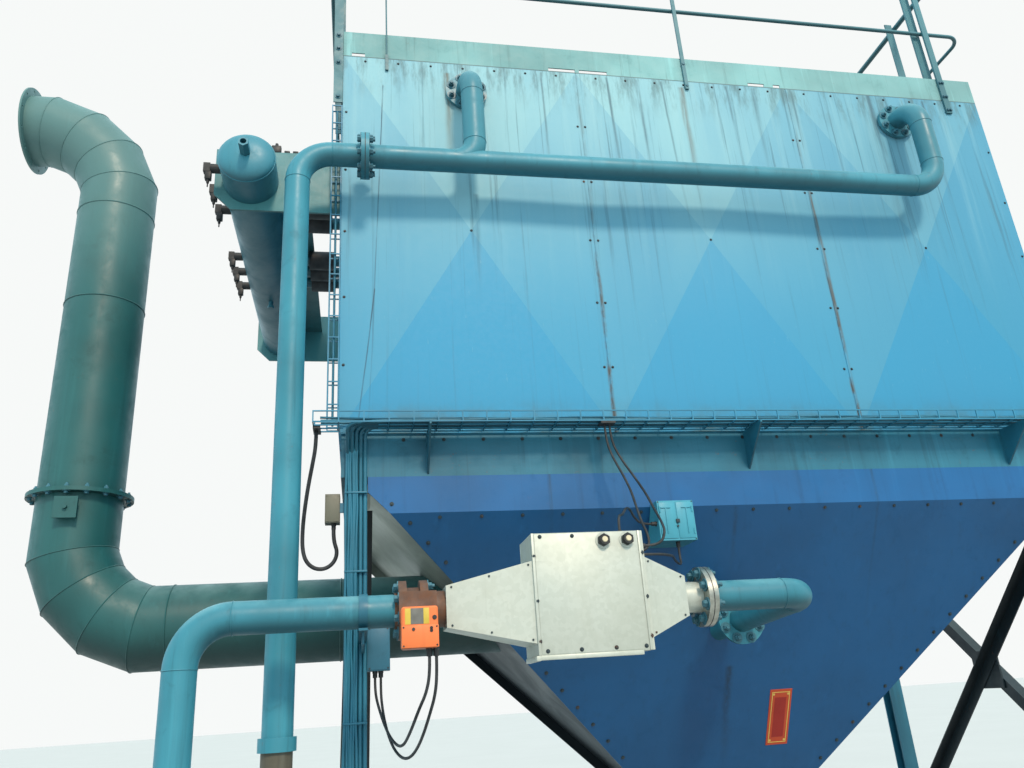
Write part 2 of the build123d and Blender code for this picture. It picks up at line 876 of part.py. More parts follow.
with BuildPart() as blow_pipes:
    for y in blow_places:
        bulge = max(left_bulge(y - blow_pipe_radius), left_bulge(y + blow_pipe_radius))
        reach = -bulge - clearance - tank_x
        disc((tank_x, y, tank_level), (1, 0, 0), blow_pipe_radius, reach)
    disc((tank_x, 0, tank_level), (0, 1, 0), tank_radius + clearance, casing_depth, Mode.SUBTRACT)
save(blow_pipes, "blow_pipes")

# Rubber sleeves that couple the two halves of each pipe
with BuildPart() as blow_sleeves:
    for y in blow_places:
        disc((-sleeve_inner, y, tank_level), (-1, 0, 0), sleeve_radius, sleeve_outer - sleeve_inner)
        disc(
            (0, y, tank_level),
            (-1, 0, 0),
            blow_pipe_radius + clearance,
            sleeve_outer + sleeve_inner,
            Mode.SUBTRACT,
        )
save(blow_sleeves, "blow_sleeves")

# Return header of the hot-air loop, ending in the right-hand gooseneck
wall_flange_gap = break_height + 1
with BuildPart() as return_manifold:
    pipe(
        [
            (manifold_joint_x, loop_y, manifold_level),
            (manifold_end_x, loop_y, manifold_level),
            (manifold_end_x, loop_y, gooseneck_level),
            (manifold_end_x, -wall_flange_gap, gooseneck_level),
        ],
        pipe_radius,
        pipe_bend,
    )
    disc((manifold_end_x, -wall_flange_gap, gooseneck_level), (0, -1, 0), flange_radius, flange_thickness)
    disc((manifold_joint_x, loop_y, manifold_level), (1, 0, 0), flange_radius, flange_thickness)
save(return_manifold, "return_manifold")

with BuildPart() as branch_pipe:
    pipe(
        [
            (branch_x, -wall_flange_gap, gooseneck_level),
            (branch_x, loop_y, gooseneck_level),
            (branch_x, loop_y, manifold_level),
            (branch_x - 2 * branch_bend, loop_y, manifold_level),
        ],
        pipe_radius,
        (pipe_bend, branch_bend),
    )
    disc((branch_x, -wall_flange_gap, gooseneck_level), (0, -1, 0), flange_radius, flange_thickness)
    disc((0, loop_y, manifold_level), (1, 0, 0), pipe_radius + clearance, casing_width, Mode.SUBTRACT)
save(branch_pipe, "branch_pipe")

with BuildPart() as downcomer:
    pipe(
        [
            (manifold_joint_x, loop_y, manifold_level),
            (downcomer_x, loop_y, manifold_level),
            (downcomer_x, loop_y, downcomer_end),
        ],
        pipe_radius,
        pipe_bend,
    )
    disc((manifold_joint_x, loop_y, manifold_level), (-1, 0, 0), flange_radius, flange_thickness)
    disc((downcomer_x, loop_y, downcomer_end), (0, 0, 1), collar_radius, collar_height)
save(downcomer, "downcomer")

# Fan: volute in the XZ plane, fed from behind and discharging up into the riser
fan_front = heater_y - fan_width / 2
fan_back = heater_y + fan_width / 2
fan_face = Plane(origin=(0, fan_back, 0), x_dir=(1, 0, 0), z_dir=(0, -1, 0))
with BuildPart() as suction_pipe:
    pipe(
        [
            (downcomer_x, loop_y, downcomer_end),
            (downcomer_x, loop_y, fan_level),
            (downcomer_x, fan_back, fan_level),
        ],
        pipe_radius,
        pipe_bend,
    )
    disc((downcomer_x, fan_back, fan_level), (0, 1, 0), flange_radius, flange_thickness)
save(suction_pipe, "suction_pipe")


def volute(grow):
    """Side outline of the fan casing, grown outward by grow."""
    left = riser_x - fan_outlet_half - grow
    right = riser_x + fan_outlet_half + grow
    far = downcomer_x + fan_right_radius + grow
    top = (downcomer_x - fan_top_radius / 2, fan_level + fan_top_radius * 0.87 + grow)
    shoulder = (downcomer_x + fan_right_radius * 0.6, fan_level + fan_right_radius * 0.75 + grow)
    keel = (downcomer_x, fan_level - fan_low_radius - grow)
    with BuildSketch(fan_face) as face:
        with BuildLine():
            Polyline(
                (left, fan_level),
                (left, fan_outlet_level),
                (right, fan_outlet_level),
                (right, fan_level + fan_top_radius / 2),
                top,
            )
            ThreePointArc(top, shoulder, (far, fan_level))
            ThreePointArc((far, fan_level), keel, (left, fan_level))
        make_face()
    return face.sketch


with BuildPart() as fan_casing:
    extrude(volute(0), amount=fan_width)
    with BuildSketch(Plane.XY.offset(fan_outlet_level), mode=Mode.PRIVATE) as mouth:
        with Locations((riser_x, heater_y)):
            Rectangle(2 * fan_outlet_half, fan_width)
    with BuildSketch(Plane.XY.offset(fan_outlet_level + fan_neck_height), mode=Mode.PRIVATE) as neck_top:
        with Locations((riser_x, heater_y)):
            Circle(pipe_radius)
    loft(sections=[mouth.sketch, neck_top.sketch])
    disc(
        (riser_x, heater_y, fan_outlet_level + fan_neck_height),
        (0, 0, 1),
        flange_radius,
        flange_thickness,
    )
save(fan_casing, "fan_casing")

motor_back = fan_front - motor_gap
with BuildPart() as fan_motor:
    disc((downcomer_x, motor_back, fan_level), (0, -1, 0), motor_radius, motor_length)
    disc((downcomer_x, fan_front, fan_level), (0, -1, 0), motor_shaft_radius, motor_gap)
    slab(
        (downcomer_x - 45, motor_back - 190, fan_level + motor_radius * 0.7),
        (downcomer_x + 45, motor_back - 90, fan_level + motor_radius + 45),
    )
    for y in (motor_back - 70, motor_back - motor_length + 60):
        slab(
            (downcomer_x - motor_radius, y - 20, fan_level - motor_radius - 10),
            (downcomer_x + motor_radius, y + 20, fan_level - motor_radius * 0.6),
        )
save(fan_motor, "fan_motor")

with BuildPart() as fan_stand:
    stand_top = fan_level - motor_radius - 10
    stand_front = motor_back - motor_length
    slab(
        (downcomer_x - stand_half, stand_front, 0),
        (downcomer_x + stand_half, fan_back, stand_plate),
    )
    slab(
        (downcomer_x - stand_half, stand_front, stand_top - stand_plate),
        (downcomer_x + stand_half, motor_back, stand_top),
    )
    for side in (-1, 1):
        inner = downcomer_x + side * (stand_half - stand_plate)
        low_x = min(inner, downcomer_x + side * stand_half)
        slab((low_x, stand_front, 0), (low_x + stand_plate, motor_back, stand_top))
        with BuildPart(mode=Mode.PRIVATE) as saddle:
            slab((low_x, fan_front + 20, 0), (low_x + stand_plate, fan_back - 20, fan_level))
            extrude(volute(clearance), amount=fan_width, mode=Mode.SUBTRACT)
        add(saddle.part.solids().sort_by(Axis.Z)[0])
save(fan_stand, "fan_stand")

# Riser from the fan to the damper in front of the column
with BuildPart() as heater_riser:
    riser_start = fan_outlet_level + fan_neck_height + flange_thickness
    pipe(
        [
            (riser_x, heater_y, riser_start),
            (riser_x, heater_y, heater_level),
            (riser_end_x, heater_y, heater_level),
        ],
        pipe_radius,
        pipe_bend,
    )
    disc((riser_x, heater_y, riser_start), (0, 0, 1), flange_radius, flange_thickness)
save(heater_riser, "heater_riser")

# Cantilever bracket that holds the run on the front left column
with BuildPart() as pipe_clamp:
    clamp_top = heater_level - pipe_radius - clearance
    clamp_left = clamp_x - clamp_width / 2
    column_face = column_offset_y - column_size / 2
    arm_back = column_face - 2 * cable_radius - 2 * clearance
    slab(
        (clamp_left, heater_y - pipe_radius, clamp_top - clamp_thickness),
        (clamp_left + clamp_width, arm_back, clamp_top),
    )
    slab(
        (clamp_x - clamp_thickness / 2, heater_y, clamp_top - 6 * clamp_thickness),
        (clamp_x + clamp_thickness / 2, arm_back, clamp_top),
    )
    band = pipe_radius + clearance
    disc((clamp_left, heater_y, heater_level), (1, 0, 0), band + strap_thickness, clamp_width)
    disc((clamp_left, heater_y, heater_level), (1, 0, 0), band, clamp_width, Mode.SUBTRACT)
save(pipe_clamp, "pipe_clamp")

# Damper: flanged butterfly valve with a bracket at its front
with BuildPart() as butterfly_valve:
    far_flange = valve_flange_left + valve_flange_thickness + valve_body_length
    disc((riser_end_x, heater_y, heater_level), (1, 0, 0), neck_radius, taper_left - riser_end_x)
    disc((valve_flange_left, heater_y, heater_level), (1, 0, 0), valve_wafer_radius, far_flange - valve_flange_left)
    for flange_x in (valve_flange_left, far_flange):
        disc((flange_x, heater_y, heater_level), (1, 0, 0), valve_flange_radius, valve_flange_thickness)
    neck_y = heater_y - valve_flange_radius - 12
    disc((actuator_x, heater_y, heater_level), (0, -1, 0), 22, heater_y - neck_y)
    slab(
        (actuator_x - bracket_width / 2, neck_y - bracket_thickness, bracket_top - bracket_drop),
        (actuator_x + bracket_width / 2, neck_y, bracket_top),
    )
save(butterfly_valve, "butterfly_valve")

with BuildPart() as valve_actuator:
    actuator_back = neck_y - bracket_thickness
    actuator_middle = (actuator_x, actuator_back, actuator_top - actuator_height / 2)
    with BuildSketch(Plane(origin=actuator_middle, x_dir=(1, 0, 0), z_dir=(0, -1, 0))):
        RectangleRounded(actuator_width, actuator_height, 8)
    extrude(amount=actuator_depth)
    chamfer(valve_actuator.faces().sort_by(Axis.Y)[0].edges(), 6)
save(valve_actuator, "valve_actuator")

# Electric duct heater: box with a square taper at each end
with BuildPart() as heater:
    slab(
        (heater_left, heater_y - heater_depth / 2, heater_level - heater_below),
        (heater_right, heater_y + heater_depth / 2, heater_level + heater_above),
    )
    for small_x, large_x in ((taper_left, heater_left), (taper_right, heater_right)):
        with BuildSketch(Plane.YZ.offset(small_x), mode=Mode.PRIVATE) as small:
            with Locations((heater_y, heater_level)):
                Rectangle(taper_end, taper_end)
        with BuildSketch(Plane.YZ.offset(large_x), mode=Mode.PRIVATE) as large:
            with Locations((heater_y, heater_level)):
                Rectangle(heater_depth - 2 * taper_inset, taper_height)
        loft(sections=[small.sketch, large.sketch])
    disc((taper_right, heater_y, heater_level), (1, 0, 0), pipe_radius, heater_flange_left - taper_right)
save(heater, "heater")

# Stainless flange pair and the pipe that turns back to the hopper
with BuildPart() as hopper_pipe:
    pipe_start = heater_flange_left + 2 * heater_flange_thickness
    return_slope = return_drop / (return_flange_y - heater_y)
    pipe(
        [
            (pipe_start, heater_y, heater_level),
            (return_x, heater_y, heater_level),
            (return_x, centre_y, heater_level - return_slope * (centre_y - heater_y)),
        ],
        pipe_radius,
        return_bend,
    )
    disc((return_x, return_flange_y, heater_level - return_drop), (0, 1, 0), flange_radius, flange_thickness)
    add(hopper_body.part, mode=Mode.SUBTRACT)
save(hopper_pipe, "hopper_pipe")

with BuildPart() as heater_flange:
    disc((heater_flange_left, heater_y, heater_level), (1, 0, 0), heater_flange_radius, heater_flange_thickness * 2)
save(heater_flange, "heater_flange")


def mesh_tray(base, length, width, runs):
    """Wire-mesh tray on the base plane: length along x, width along y, open towards z."""
    rungs = int(length // tray_pitch) + 1
    rung_pitch = (length - tray_wire) / (rungs - 1)
    with BuildSketch(base) as floor:
        with Locations((length / 2, width / 2)):
            with GridLocations(rung_pitch, 0, rungs, 1):
                Rectangle(tray_wire, width)
            with GridLocations(0, (width - tray_wire) / (runs - 1), 1, runs):
                Rectangle(length, tray_wire)
    extrude(floor.sketch, amount=tray_wire)
    for y in (tray_wire, width):
        side = Plane(
            origin=base.from_local_coords(Vector(0, y, 0)),
            x_dir=base.x_dir,
            z_dir=base.y_dir * -1,
        )
        with BuildSketch(side) as uprights:
            with Locations((length / 2, tray_height / 2)):
                with GridLocations(rung_pitch, 0, rungs, 1):
                    Rectangle(tray_wire, tray_height)
            with Locations((length / 2, tray_height - tray_wire / 2)):
                Rectangle(length, tray_wire)
        extrude(uprights.sketch, amount=tray_wire)


# Tray along the front, its floor cut open where the cables turn down to the column
tray_back = -tray_gap
tray_front = tray_back - tray_width
with BuildPart() as cable_tray:
    front_base = Plane(origin=(tray_left, tray_front, tray_base), x_dir=(1, 0, 0), z_dir=(0, 0, 1))
    mesh_tray(front_base, tray_right - tray_left, tray_width, tray_runs)
    slab(
        (tray_opening_left, tray_front + tray_wire, tray_base - 1),
        (tray_opening_right, tray_back - tray_wire, tray_base + tray_wire + 1),
        Mode.SUBTRACT,
    )
save(cable_tray, "cable_tray")

with BuildPart() as cable_ladder:
    ladder_x = -left_bulge(ladder_y + ladder_width) - clearance
    ladder_base = Plane(origin=(ladder_x, ladder_y, ladder_bottom), x_dir=(0, 0, 1), z_dir=(-1, 0, 0))
    mesh_tray(ladder_base, ladder_top - ladder_bottom, ladder_width, ladder_runs)
save(cable_ladder, "cable_ladder")

# Fixed cables: along the tray, then down the face of the front left column into the foot box
with BuildPart() as cable_bundle:
    cable_level = tray_base + tray_wire + cable_radius + clearance
    cable_face_y = column_face - cable_radius - clearance
    for lane in range(cable_count):
        lane_y = tray_back - tray_wire - (lane + 1) * (2 * cable_radius + 1)
        lane_x = column_offset_x + (cable_count - 1) * cable_pitch / 2 - lane * cable_pitch
        pipe(
            [
                (tray_right, lane_y, cable_level),
                (lane_x, lane_y, cable_level),
                (lane_x, cable_face_y, cable_level - 3 * cable_bend),
                (lane_x, cable_face_y, cable_foot),
            ],
            cable_radius,
            cable_bend,
        )
save(cable_bundle, "cable_bundle")

# Light-blue box on the hopper's upright band
with BuildPart() as junction_box:
    slab(
        (junction_x, girder_setback - junction_depth, junction_bottom),
        (junction_x + junction_width, girder_setback + 200, junction_bottom + junction_height),
    )
    add(hopper_body.part, mode=Mode.SUBTRACT)
save(junction_box, "junction_box")

# Terminal boxes: blue beside the column, one at the bundle's foot, one at the tray's end
column_left_face = column_offset_x - column_size / 2
column_right_face = column_offset_x + column_size / 2
with BuildPart() as terminal_boxes:
    blue_low = (column_right_face + clearance, blue_box_front, blue_box_level)
    slab(blue_low, tuple(a + b for a, b in zip(blue_low, blue_box_size)))
    foot_low = (
        column_offset_x - foot_box_size[0] / 2,
        column_face - clearance - foot_box_size[1],
        cable_foot - foot_box_size[2],
    )
    slab(foot_low, tuple(a + b for a, b in zip(foot_low, foot_box_size)))
    end_low = (tray_right + clearance, -2 - end_box_size[1], tray_base - end_box_drop)
    slab(end_low, tuple(a + b for a, b in zip(end_low, end_box_size)))
    # Cleat from the column to the grey box
    grey_right = grey_box_corner[0] + grey_box_size[0]
    cleat_y = column_offset_y - column_size / 2
    grey_middle = grey_box_corner[2] + grey_box_size[2] / 2
    slab(
        (grey_right, cleat_y, grey_middle - grey_bracket[1] / 2),
        (column_left_face, cleat_y + grey_bracket[0], grey_middle + grey_bracket[1] / 2),
    )
save(terminal_boxes, "terminal_boxes")

# Grey box held beside the column by its cleat
with BuildPart() as grey_box:
    slab(grey_box_corner, tuple(a + b for a, b in zip(grey_box_corner, grey_box_size)))
save(grey_box, "grey_box")

# Glands under and beside the boxes, and clips under the tray, where the loose cables start and end
clip_y = tray_front + clip_size[1] / 2
clip_level = tray_base - clip_size[2]
actuator_low = actuator_top - actuator_height
blue_x = column_right_face + blue_box_size[0] / 2
glands = {
    "heater_back": ((heater_right, heater_y + 60, heater_level + 180), (1, 0, 0)),
    "heater_upper": ((heater_right, heater_y - 50, heater_level + 182), (1, 0, 0)),
    "heater_lower": ((heater_right, heater_y - 25, heater_level + 155), (1, 0, 0)),
    "heater_top": ((heater_top_gland_x, heater_y + 20, heater_level + heater_above), (0, 0, 1)),
    "junction_side": ((junction_x, -40, junction_bottom + 78), (-1, 0, 0)),
    "junction_foot": ((junction_x + 87, -35, junction_bottom), (0, 0, -1)),
    "actuator_left": ((actuator_x + 30, actuator_back - 33, actuator_low), (0, 0, -1)),
    "actuator_right": ((actuator_x + 52, actuator_back - 33, actuator_low), (0, 0, -1)),
    "blue_left": ((blue_x - 13, blue_box_front + 35, blue_box_level), (0, 0, -1)),
    "blue_right": ((blue_x + 9, blue_box_front + 35, blue_box_level), (0, 0, -1)),
    "grey_foot": ((grey_right - 25, grey_box_corner[1] + 30, grey_box_corner[2]), (0, 0, -1)),
}
gland_tips = {
    name: tuple(a + gland_length * b for a, b in zip(seat, axis)) for name, (seat, axis) in glands.items()
}
gland_tips["clip_first"] = (clip_x - 11, clip_y + 2, clip_level)
gland_tips["clip_second"] = (clip_x + 11, clip_y + 2, clip_level)
gland_tips["clip_left"] = (clip_left_x, -60, clip_level)

with BuildPart() as cable_glands:
    for seat, axis in glands.values():
        disc(seat, axis, gland_radius, gland_length)
        with BuildSketch(Plane(origin=seat, z_dir=axis)) as nut:
            RegularPolygon(gland_radius * 1.15, 6)
        extrude(nut.sketch, amount=gland_length / 3)
    clip_right = clip_x + clip_size[0] / 2
    slab((clip_right - clip_size[0], tray_front, clip_level), (clip_right, tray_front + clip_size[1], tray_base))
    slab((tray_left, tray_front + clip_size[1], clip_level), (tray_left + 30, tray_back, tray_base))
save(cable_glands, "cable_glands")


def cord(name, radius, first, between, last):
    """Loose cable from gland to gland: straight runs joined by arcs as large as the runs allow."""
    points = [Vector(*p) for p in (gland_tips[first], *between, gland_tips[last])]
    runs = [b - a for a, b in zip(points, points[1:])]
    radii = []
    for before, after in zip(runs, runs[1:]):
        half_turn = math.radians(before.get_angle(after) / 2)
        radii.append(0.45 * min(before.length, after.length) / math.tan(half_turn))
    with BuildLine(mode=Mode.PRIVATE) as route:
        FilletPolyline(*points, radius=radii)
    path = route.wires()[0]
    with BuildPart() as tube:
        with BuildSketch(Plane(origin=path @ 0, z_dir=path % 0)):
            Circle(radius)
        sweep(path=path)
    share = tube.part.volume / (math.pi * radius**2 * path.length)
    print(name, "radii", [round(r) for r in radii], "length", round(path.length), "volume share", round(share, 4))
    save(tube, name)


cord(
    "loose_heater_cable_back",
    thin_cable_radius,
    "clip_first",
    [
        (1128, -131, 2398),
        (1144, -146, 2318),
        (1162, -198, 2230),
        (1162, -275, 2145),
        (1152, -345, 2062),
        (1147, -400, 1990),
        (1154, -436, 1930),
        (1153, -440, 1894),
        (1129, -440, 1870),
    ],
    "heater_back",
)
cord(
    "loose_heater_cable_side",
    thin_cable_radius,
    "clip_second",
    [
        (1150, -131, 2395),
        (1179, -146, 2312),
        (1210, -195, 2222),
        (1221, -278, 2132),
        (1215, -365, 2050),
        (1205, -450, 1985),
        (1190, -525, 1925),
        (1154, -550, 1872),
    ],
    "heater_upper",
)
cord(
    "loose_heater_cable_low",
    thin_cable_radius,
    "heater_lower",
    [
        (1160, -525, 1845),
        (1213, -470, 1848),
        (1255, -390, 1858),
        (1295, -300, 1870),
        (1345, -190, 1868),
        (1395, -105, 1866),
        (1421, -62, 1876),
        (1429, -35, 1905),
    ],
    "junction_foot",
)
cord(
    "loose_heater_cable_high",
    thin_cable_radius,
    "junction_side",
    [
        (1272, -40, 2050),
        (1225, -88, 2075),
        (1190, -160, 2088),
        (1150, -240, 2080),
        (1110, -330, 2052),
        (1070, -410, 2014),
        (1041, -461, 2003),
        (1030, -480, 1975),
    ],
    "heater_top",
)
cord(
    "loose_actuator_cable_left",
    thin_cable_radius,
    "actuator_left",
    [
        (307, -652, 1482),
        (296, -638, 1425),
        (274, -606, 1378),
        (258, -550, 1332),
        (246, -475, 1296),
        (236, -390, 1270),
        (224, -298, 1262),
        (208, -208, 1276),
        (190, -125, 1308),
        (172, -50, 1358),
        (155, 8, 1420),
        (150.5, 33, 1462),
    ],
    "blue_left",
)
cord(
    "loose_actuator_cable_right",
    thin_cable_radius,
    "actuator_right",
    [
        (329, -652, 1478),
        (324, -630, 1418),
        (308, -598, 1362),
        (292, -543, 1306),
        (276, -468, 1260),
        (258, -383, 1230),
        (239, -290, 1222),
        (218, -200, 1240),
        (200, -115, 1278),
        (184, -45, 1338),
        (174, 10, 1410),
        (172.5, 33, 1460),
    ],
    "blue_right",
)
cord(
    "loose_grey_box_cable",
    thick_cable_radius,
    "clip_left",
    [
        (-88, -60, 2405),
        (-101, -46, 2330),
        (-118, -20, 2240),
        (-131, 8, 2150),
        (-138, 32, 2072),
        (-137, 42, 2002),
        (-122, 45, 1953),
        (-88, 46, 1924),
        (-45, 46, 1922),
        (-10, 45, 1948),
        (2, 44, 1990),
        (-15, 44, 2036),
    ],
    "grey_foot",
)
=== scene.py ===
"""Looks of the modular dust collector: paint, dirt, fasteners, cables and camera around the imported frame."""

import json
import math
import random

import bmesh
import bpy
from mathutils import Matrix, Vector

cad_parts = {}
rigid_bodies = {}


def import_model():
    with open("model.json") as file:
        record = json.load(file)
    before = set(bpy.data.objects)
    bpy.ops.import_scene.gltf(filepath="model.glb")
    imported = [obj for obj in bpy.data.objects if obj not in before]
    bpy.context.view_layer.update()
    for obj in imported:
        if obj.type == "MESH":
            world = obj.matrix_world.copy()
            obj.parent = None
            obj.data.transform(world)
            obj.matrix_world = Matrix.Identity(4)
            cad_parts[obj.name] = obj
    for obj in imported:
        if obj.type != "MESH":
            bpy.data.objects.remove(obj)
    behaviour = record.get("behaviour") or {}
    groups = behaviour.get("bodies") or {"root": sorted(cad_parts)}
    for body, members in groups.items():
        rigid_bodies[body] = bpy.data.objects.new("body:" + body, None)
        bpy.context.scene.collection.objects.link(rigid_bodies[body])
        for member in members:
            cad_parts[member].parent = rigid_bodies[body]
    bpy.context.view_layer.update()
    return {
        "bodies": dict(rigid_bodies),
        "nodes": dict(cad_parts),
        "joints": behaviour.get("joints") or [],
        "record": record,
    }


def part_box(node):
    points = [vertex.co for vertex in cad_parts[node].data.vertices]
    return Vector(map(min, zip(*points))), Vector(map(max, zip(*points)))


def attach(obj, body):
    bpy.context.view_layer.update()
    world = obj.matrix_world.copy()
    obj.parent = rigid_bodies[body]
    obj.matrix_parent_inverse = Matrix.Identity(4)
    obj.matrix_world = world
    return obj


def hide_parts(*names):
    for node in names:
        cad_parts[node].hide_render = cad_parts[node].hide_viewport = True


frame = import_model()
nodes = frame["nodes"]

# Sizes that the pieces below share with the solids, in metres
WIDTH = 3.660
DEPTH = 2.000
FOOT = 2.479
ROOF = 4.498
SHEET = 1.220
SIDE_SHEET = 0.995
SIDE_START = 0.005
BREAK = 0.012
GIRDER_FACE = 0.012
BAND_FOOT = 2.135
OUTLET_X = 1.830
OUTLET_HALF = 0.150
OUTLET_FRONT = 0.850
OUTLET_TOP = 0.740
PIPE = 0.054
ELBOW = 0.152
SHORT_ELBOW = 0.110
SADDLE = 0.110
FLANGE = 0.018
LOOP_Y = -0.190
MANIFOLD = 3.751
GOOSENECK = 4.302
BRANCH_X = 0.620
LOOP_END_X = 3.072
JOINT_X = 0.108
DOWN_X = -0.188
UP_X = -0.467
UP_JOINT_Z = 0.868
FAN_Z = 0.420
HEATER_Y = -0.500
HEATER_Z = 1.690
BOX_LEFT = 0.670
BOX_RIGHT = 1.070
BOX_FRONT = -0.6025
BOX_BACK = -0.3975
BOX_TOP = 1.917
BOX_FOOT = 1.515
LEFT_TAPER = 0.296
RIGHT_TAPER = 0.152
TAPER_MOUTH = 0.136
TAPER_DROP = 0.068
DAMPER_X = 0.266
HEATER_JOINT_X = 1.308
RETURN_X = 1.722
DUCT_Y = 1.000
DUCT_R = 0.200
DUCT_Z = 1.817
RISER_X = -1.292
RING_Z = 2.462
DUCT_TOP = 4.681
LOW_BEND = 0.440
TOP_BEND = 0.490
TANK_X = -0.420
TANK_Z = 3.747
TANK_R = 0.126
VALVES = [-0.041, 0.129, 0.299, 0.759, 0.929, 1.099]
BLOW_PIPES = [0.130, 0.260, 0.390, 0.780, 0.910, 1.040]
TRAY_BED = 2.4895

# Tones of dirt and rust, and a painted light tone for the casing's side facets
RUST = (0.16, 0.055, 0.02)
DIRT = (0.050, 0.110, 0.140)
WET_RUN = (0.030, 0.080, 0.120)
HOPPER_RUN = (0.010, 0.035, 0.060)
FACET_LIGHT = (0.150, 0.350, 0.430)


# Materials


class Shader:
    """A principled material and short ways to add nodes to it."""

    def __init__(self, name, metallic=0.0, specular=0.5):
        self.material = bpy.data.materials.new(name)
        self.material.use_nodes = True
        self.tree = self.material.node_tree
        self.bsdf = self.tree.nodes["Principled BSDF"]
        self.bsdf.inputs["Metallic"].default_value = metallic
        self.bsdf.inputs["Specular IOR Level"].default_value = specular
        self.place = self.tree.nodes.new("ShaderNodeTexCoord").outputs["Object"]

    def node(self, kind, **values):
        """New node of a kind, with its settings."""
        made = self.tree.nodes.new(kind)
        for key, value in values.items():
            setattr(made, key, value)
        return made

    def link(self, source, target):
        self.tree.links.new(source, target)

    def set(self, socket, value):
        """Gives the socket a number or a colour, or links another node's output to it."""
        if isinstance(value, (int, float)):
            socket.default_value = value
        elif isinstance(value, (tuple, list)):
            socket.default_value = (*value, 1.0) if len(value) == 3 else value
        else:
            self.link(value, socket)

    def stretched(self, scale, shift=(0, 0, 0)):
        """Object coordinates scaled along each axis, for runs and streaks."""
        mapping = self.node("ShaderNodeMapping")
        self.link(self.place, mapping.inputs["Vector"])
        mapping.inputs["Scale"].default_value = scale
        mapping.inputs["Location"].default_value = shift
        return mapping.outputs["Vector"]

    def noise(self, scale, detail=4.0, rough=0.55, vector=None, distortion=0.0):
        made = self.node("ShaderNodeTexNoise")
        self.link(vector or self.place, made.inputs["Vector"])
        made.inputs["Scale"].default_value = scale
        made.inputs["Detail"].default_value = detail
        made.inputs["Roughness"].default_value = rough
        made.inputs["Distortion"].default_value = distortion
        return made.outputs["Fac"]

    def ramp(self, value, low, high, top=1.0, bottom=0.0):
        """Smooth step of value from bottom at low to top at high."""
        made = self.node("ShaderNodeMapRange")
        made.interpolation_type = "SMOOTHSTEP"
        self.link(value, made.inputs["Value"])
        made.inputs["From Min"].default_value = low
        made.inputs["From Max"].default_value = high
        made.inputs["To Min"].default_value = bottom
        made.inputs["To Max"].default_value = top
        return made.outputs["Result"]

    def math(self, operation, first, second=None):
        made = self.node("ShaderNodeMath", operation=operation)
        self.set(made.inputs[0], first)
        if second is not None:
            self.set(made.inputs[1], second)
        return made.outputs[0]

    def times(self, first, second):
        return self.math("MULTIPLY", first, second)

    def plus(self, first, second):
        return self.math("ADD", first, second)

    def minus(self, first, second):
        return self.math("SUBTRACT", first, second)

    def mix(self, share, first, second):
        made = self.node("ShaderNodeMix", data_type="RGBA", blend_type="MIX")
        self.set(made.inputs["Factor"], share)
        self.set(made.inputs["A"], first)
        self.set(made.inputs["B"], second)
        return made.outputs["Result"]

    def axis(self, name):
        made = self.node("ShaderNodeSeparateXYZ")
        self.link(self.place, made.inputs["Vector"])
        return made.outputs[name]

    def facing(self, name):
        """Component of the surface's normal, so dust can settle on what faces up."""
        geometry = self.node("ShaderNodeNewGeometry")
        made = self.node("ShaderNodeSeparateXYZ")
        self.link(geometry.outputs["Normal"], made.inputs["Vector"])
        return made.outputs[name]

    def bump(self, height, strength, distance=0.002):
        made = self.node("ShaderNodeBump")
        self.link(height, made.inputs["Height"])
        made.inputs["Strength"].default_value = strength
        made.inputs["Distance"].default_value = distance
        self.link(made.outputs["Normal"], self.bsdf.inputs["Normal"])

    def stain(self, colour, x, top, foot, width, tone, share, lean=0.0):
        """Run of rust or dirt down the front and back faces, from top to foot."""
        height = self.axis("Z")
        drift = self.times(self.minus(top, height), lean)
        wobble = self.times(self.minus(self.noise(3.0, 3.0), 0.5), width * 1.5)
        centre = self.plus(self.plus(drift, wobble), x)
        offset = self.math("ABSOLUTE", self.minus(self.axis("X"), centre))
        near = self.ramp(offset, width, 0.0, share)
        fade = self.times(self.ramp(height, foot, top), self.ramp(height, top + 0.015, top))
        broken = self.ramp(self.noise(1.0, 5.0, 0.7, self.stretched((60, 60, 3.0))), 0.25, 0.6)
        return self.mix(self.times(self.times(near, fade), broken), colour, tone)

    def finish(self, colour, roughness):
        self.set(self.bsdf.inputs["Base Color"], colour)
        self.set(self.bsdf.inputs["Roughness"], roughness)
        return self.material


def shade(colour, factor):
    """Colour made lighter or darker."""
    return tuple(min(1.0, channel * factor) for channel in colour)


